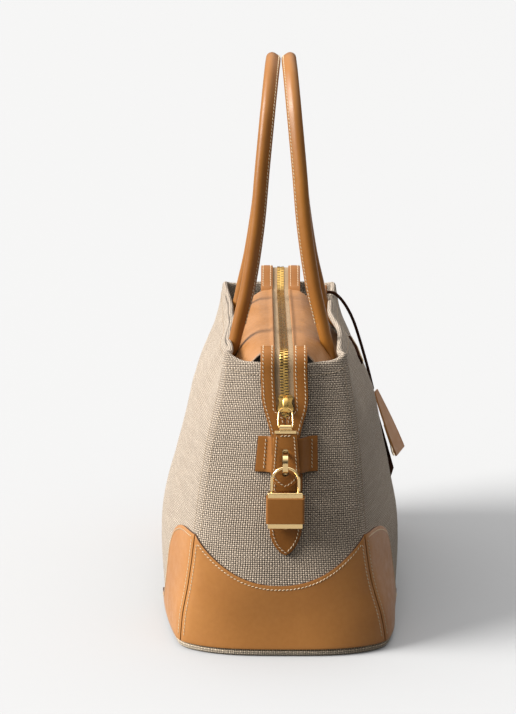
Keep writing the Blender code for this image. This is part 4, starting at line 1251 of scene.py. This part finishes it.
def make_ring():
    """Wire loop, wide below and closing at the top."""
    low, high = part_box("pull_ring")
    bottom = Vector((low.x + RING_EDGE, 0, low.z + RING_EDGE + PULL_LIFT))
    rise_to_top = Vector((high.x - RING_EDGE, 0, high.z - RING_EDGE)) - bottom
    shape = [
        (0.0000, 1.0), (0.0030, 0.985), (0.0047, 0.90), (0.0056, 0.76), (0.0060, 0.45),
        (0.0061, 0.20), (0.0058, 0.06), (0.0048, 0.0), (0.0, 0.0),
    ]
    half = [bottom + rise_to_top * s + Vector((0, y, 0)) for y, s in shape]
    loop = half + [Vector((p.x, -p.y, p.z)) for p in reversed(half[1:-1])]
    path = [p + LEANING for p in smooth(loop + [loop[0]], 5)[:-1]]
    ring = wire("ring", path, 0.00078, SHADED_GOLD, closed=True, first_side=(1, 0, 0.2))
    finish_piece(ring, "ring", "gold_metal", "pull_ring")


def make_pull():
    """Cap with its barrel, leather pull with a keyhole slot, and the staple."""
    ring_low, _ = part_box("pull_ring")
    barrel_x, barrel_z = ring_low.x + RING_EDGE, ring_low.z + RING_EDGE + PULL_LIFT
    front, back = pull_low.x, pull_high.x
    top = pull_high.z + PULL_LIFT
    bar_low = (front - 0.0007, -0.0090 + PULL_Y, top - 0.0006)
    bar_high = (back + 0.0006, 0.0090 + PULL_Y, top + 0.0019)
    bar = bevelled_box("cap_bar", bar_low, bar_high, GOLD, 0.0003)
    neck_outline = [(-0.0052, 0.0), (0.0052, 0.0), (0.0046, 0.0036), (-0.0046, 0.0036)]
    neck = flat_piece("cap_neck", neck_outline, [], 0.0020, [GOLD], 0.0002)
    neck.matrix_basis = Matrix.Translation((barrel_x, PULL_Y, top + 0.0015))
    path = [(barrel_x, y + PULL_Y, barrel_z) for y in np.linspace(-0.0046, 0.0046, 6)]
    barrel = sweep("cap_barrel", path, lambda share: round_section(0.0021, 18), GOLD, (1, 0, 0))
    finish_piece(join([bar, neck, barrel], "cap"), "pull", "gold_metal", "pull_cap")

    outline = tongue(top, pull_low.z, 0.0091, 0.0117, 0.013)
    slot = []
    for middle, start in ((0.1812, 0.0), (0.1625, math.pi)):
        for a in np.linspace(start, start + math.pi, 9):
            slot.append((SLOT_R * math.cos(a), middle + SLOT_R * math.sin(a)))
    pull = flat_piece("pull_leather", outline, [slot], back - front, [STRAP, EDGE])
    pull.data.transform(Matrix.Translation(((front + back) / 2, PULL_Y, 0)))
    finish_piece(pull, "pull", "tan_leather", "pull_tab")
    out = Vector((-1, 0, 0))
    round_edge = [(q.x, min(q.y, top - 0.0018)) for q in inset_outline(outline, 0.0021)]
    across = [(y, top - 0.0026) for y in np.linspace(-0.0058, 0.0058, 8)]
    lines = [[(Vector((front - 0.0001, y + PULL_Y, z)), out) for y, z in line] for line in (round_edge, across)]
    stitches("pull_stitches", lines, "pull", pitch=0.0030)

    route = [
        (back - 0.0004, 0.1803), (LOCK_X + 0.0016, 0.1800), (LOCK_X - 0.0024, 0.1775),
        (LOCK_X - 0.0037, 0.1725), (LOCK_X - 0.0026, 0.1672), (LOCK_X + 0.0016, 0.1646),
        (back - 0.0004, 0.1642),
    ]
    section = [
        (-0.0021, -0.0008), (0.0021, -0.0008), (0.0021, 0.0005),
        (0.0015, 0.0010), (-0.0015, 0.0010), (-0.0021, 0.0005),
    ]
    path = [p + LEANING for p in smooth([(x, 0, z) for x, z in route], 6)]
    bar = sweep("staple_bar", path, lambda share: section, GOLD)
    plate_low, plate_high = (back + 0.0003, PULL_Y - 0.0048, 0.1600), (back + 0.0011, PULL_Y + 0.0048, 0.1835)
    plate = bevelled_box("staple_plate", plate_low, plate_high, GOLD, 0.0002)
    finish_piece(join([bar, plate], "staple"), "pull", "gold_metal", "lock_staple")


LOCK_LIFT = 0.0017  # and the padlock's body
SLOT_R = 0.0028  # of the pull's slot


def rounded_box(half_x, half_y, radius):
    """Outline of a rectangle with round corners."""
    made = []
    for x, y, start in ((1, 1, 0), (-1, 1, 90), (-1, -1, 180), (1, -1, 270)):
        corner_x, corner_y = x * (half_x - radius), y * (half_y - radius)
        for a in np.radians([start + 18 * i for i in range(6)]):
            made.append((corner_x + radius * math.cos(a), corner_y + radius * math.sin(a)))
    return made


def make_padlock():
    """Shackle, body, the leather sleeve round it and the lock cylinder below."""
    low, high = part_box("padlock_shackle")
    radius = 0.00135
    half = high.y - radius
    bend = high.z - radius + 0.0034 - half
    path = [(-half, low.z)]
    path += [(half * math.cos(a), bend + half * math.sin(a)) for a in np.linspace(math.pi, 0, 25)]
    path.append((half, low.z))
    path = [Vector((LOCK_X, y, z)) + LEANING for y, z in path]
    shackle = wire("shackle", path, radius, GOLD, first_side=(1, 0, 0))
    finish_piece(shackle, "shackle", "gold_metal", "padlock_shackle")

    shift = LEANING + Vector((0, 0, LOCK_LIFT))
    body = bevelled_box("lock_body", lock_low + shift, lock_high + shift, GOLD, 0.0009, 4)
    finish_piece(body, "lock", "gold_metal", "padlock_body")
    low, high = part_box("padlock_sleeve")
    bottom, top = low.z + LOCK_LIFT, high.z + LOCK_LIFT
    half_x, half_y = (high.x - low.x) / 2, (high.y - low.y) / 2
    soft = 0.0003  # rounding of the sleeve's rims
    outer = rounded_box(half_x, half_y, 0.0021)
    edge = rounded_box(half_x - soft, half_y - soft, 0.0020)
    inner = rounded_box(half_x - 0.0012, half_y - 0.0012, 0.0011)
    levels = [
        (inner, bottom), (edge, bottom), (outer, bottom + soft), (outer, top - soft), (edge, top), (inner, top),
    ]
    rings = [[Vector((LOCK_X + x, PULL_Y + y, z)) for x, y in loop] for loop, z in levels]
    finish_piece(loft("lock_sleeve", rings, STRAP, closed=True), "lock", "tan_leather", "padlock_sleeve")
    low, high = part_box("padlock_cylinder")
    section = round_section((high.y - low.y) / 2, 28)
    path = [(LOCK_X, PULL_Y, z) for z in np.linspace(lock_low.z + LOCK_LIFT - 0.0004, high.z, 5)]
    plug = sweep("lock_plug", path, lambda share: section, GOLD, (1, 0, 0))
    finish_piece(plug, "lock", "gold_metal", "padlock_cylinder")


# ---------------------------------------------------------------- tag
TAG_X = 0.1075
LACE_ROUTE = [
    (-0.0438, 0.2550), (-0.0510, 0.2545), (-0.0580, 0.2490), (-0.0650, 0.2390),
    (-0.0716, 0.2250), (-0.0790, 0.2020), (-0.0858, 0.1780), (-0.0905, 0.1590),
]
LACE_R = 0.0015
LOOP_R = 0.0012


def make_tag():
    """The lace from its loop inside the rim, with the two leaves and the key that hang from it."""
    points = smooth([(TAG_X, y, z) for y, z in LACE_ROUTE], 4)
    lace = curve_object("lace", "3D", LACE_R, 3, [points])
    lace.data.use_fill_caps = True
    lace.data.splines[0].use_smooth = True
    lace.data.materials.append(DARK)
    finish_piece(lace, "lace", "dark_leather", "tag_lace")

    low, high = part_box("tag_loop")
    centre = (low + high) / 2
    half_x, half_z = (high.x - low.x) / 2 - LOOP_R, (high.z - low.z) / 2 - LOOP_R
    path = [centre + Vector((half_x * a, 0, half_z * b)) for a, b in round_section(1.0, 36)]
    loop = wire("lace_loop", path, LOOP_R, STRAP, closed=True)
    finish_piece(loop, "bag", "tan_leather", "tag_loop")

    paint(LEATHER, "tag_leaf_outer")
    paint(DARK, "tag_leaf_inner")
    paint(GOLD, "padlock_key")


# ---------------------------------------------------------------- CAD nodes that stay
def paint(material, *nodes):
    for name in nodes:
        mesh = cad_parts[name].data
        mesh.materials.clear()
        mesh.materials.append(material)
        shade(mesh, 35)


def make_plate():
    """Blank metal plate on a leather backing near the top of the front."""
    low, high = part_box("front_plate")
    for name, grow, lift, thickness, material, slot in (
        ("plate_backing", 0.0, 0.0018, 0.0017, DARK, "dark_leather"),
        ("blank_plate", -0.0011, 0.0030, 0.0011, GOLD, "gold_metal"),
    ):
        turns = 0.5 + np.linspace(low.x - grow, high.x + grow, 60) / SIDE_LENGTH
        heights = np.linspace(low.z - grow, high.z + grow, 6)
        obj = sheet(name, [skin(turns, z, lift)[0] for z in heights], [material])
        thicken(obj, thickness, 0.0004)
        finish_piece(obj, "bag", slot, "front_plate")


# ---------------------------------------------------------------- stage
WORLD_BASE, WORLD_SIDE, WORLD_END, WORLD_UP, WORLD_LEAST = 0.06, 0.52, 0.16, 2.55, 0.02
KEY_POWER, KEY_FROM, KEY_SPREAD, KEY_COLOUR = 7.9, (-0.25, 0.80, 0.55), 30, (1.0, 0.99, 0.97)


def make_stage():
    """A pale floor, a soft sky and one wide sun from behind the back."""
    corners = [(-30, -30), (30, -30), (30, 30), (-30, 30)]
    floor = add_mesh("floor", [(x, y, -0.0002) for x, y in corners], [(0, 1, 2, 3)], [])
    m = Material("studio_floor", (0.327, 0.327, 0.329), 0.9)
    m.shader.inputs["Specular IOR Level"].default_value = 0.1
    floor.data.materials.append(m.mat)
    floor.visible_diffuse = False
    world = bpy.data.worlds.new("studio")
    bpy.context.scene.world = world
    tree = Nodes(world)
    place = tree.add("TexCoord").outputs["Generated"]
    along_x, along_y, upward = tree.add("SeparateXYZ", {0: place}).outputs
    # Brightest overhead, brighter towards the back (+Y) and dark towards the front and the left end.
    glow = tree.math("MULTIPLY_ADD", along_y, WORLD_SIDE, WORLD_BASE)
    glow = tree.math("MULTIPLY_ADD", along_x, WORLD_END, glow)
    glow = tree.math("MAXIMUM", glow, WORLD_LEAST)
    above = tree.math("MAXIMUM", upward, 0.0)
    glow = tree.math("MULTIPLY_ADD", tree.math("MULTIPLY", above, above), WORLD_UP, glow)
    background = tree.nodes["Background"]
    tree.set(background.inputs["Strength"], glow)
    background.inputs["Color"].default_value = (1.0, 1.0, 1.0, 1)
    sun = bpy.data.lights.new("key", "SUN")
    sun.energy = KEY_POWER
    sun.color = KEY_COLOUR
    sun.angle = math.radians(KEY_SPREAD)
    key = new_object("key", sun)
    key.location = KEY_FROM
    key.rotation_euler = (-Vector(KEY_FROM)).to_track_quat("-Z", "Y").to_euler()


def make_camera():
    """Looks along +X at the left end, from a little above."""
    data = bpy.data.cameras.new("camera")
    data.lens = 105.2
    data.sensor_width = 36
    data.sensor_fit = "AUTO"
    camera = new_object("camera", data)
    camera.location = (-1.877, 0.0, 0.640)
    pitch, yaw = math.radians(12.76), math.radians(0.63)
    direction = Vector((math.cos(pitch) * math.cos(yaw), math.cos(pitch) * math.sin(yaw), -math.sin(pitch)))
    camera.rotation_euler = direction.to_track_quat("-Z", "Y").to_euler()
    bpy.context.scene.camera = camera


def main():
    bpy.context.scene.view_settings.view_transform = "Standard"
    make_camera()
    make_tag()
    make_canvas()
    make_canvas_seams()
    make_lining()
    make_base()
    make_patches()
    make_zip()
    make_top()
    make_handles()
    make_end_trim()
    make_plate()
    make_slider()
    make_ring()
    make_pull()
    make_padlock()
    paint(BASE_CLOTH, "canvas_base")
    paint(BOARD, "base_board")
    paint(LINING, "lining_floor")
    paint(COTTON, "handle_front_core", "handle_back_core")
    make_stage()


main()
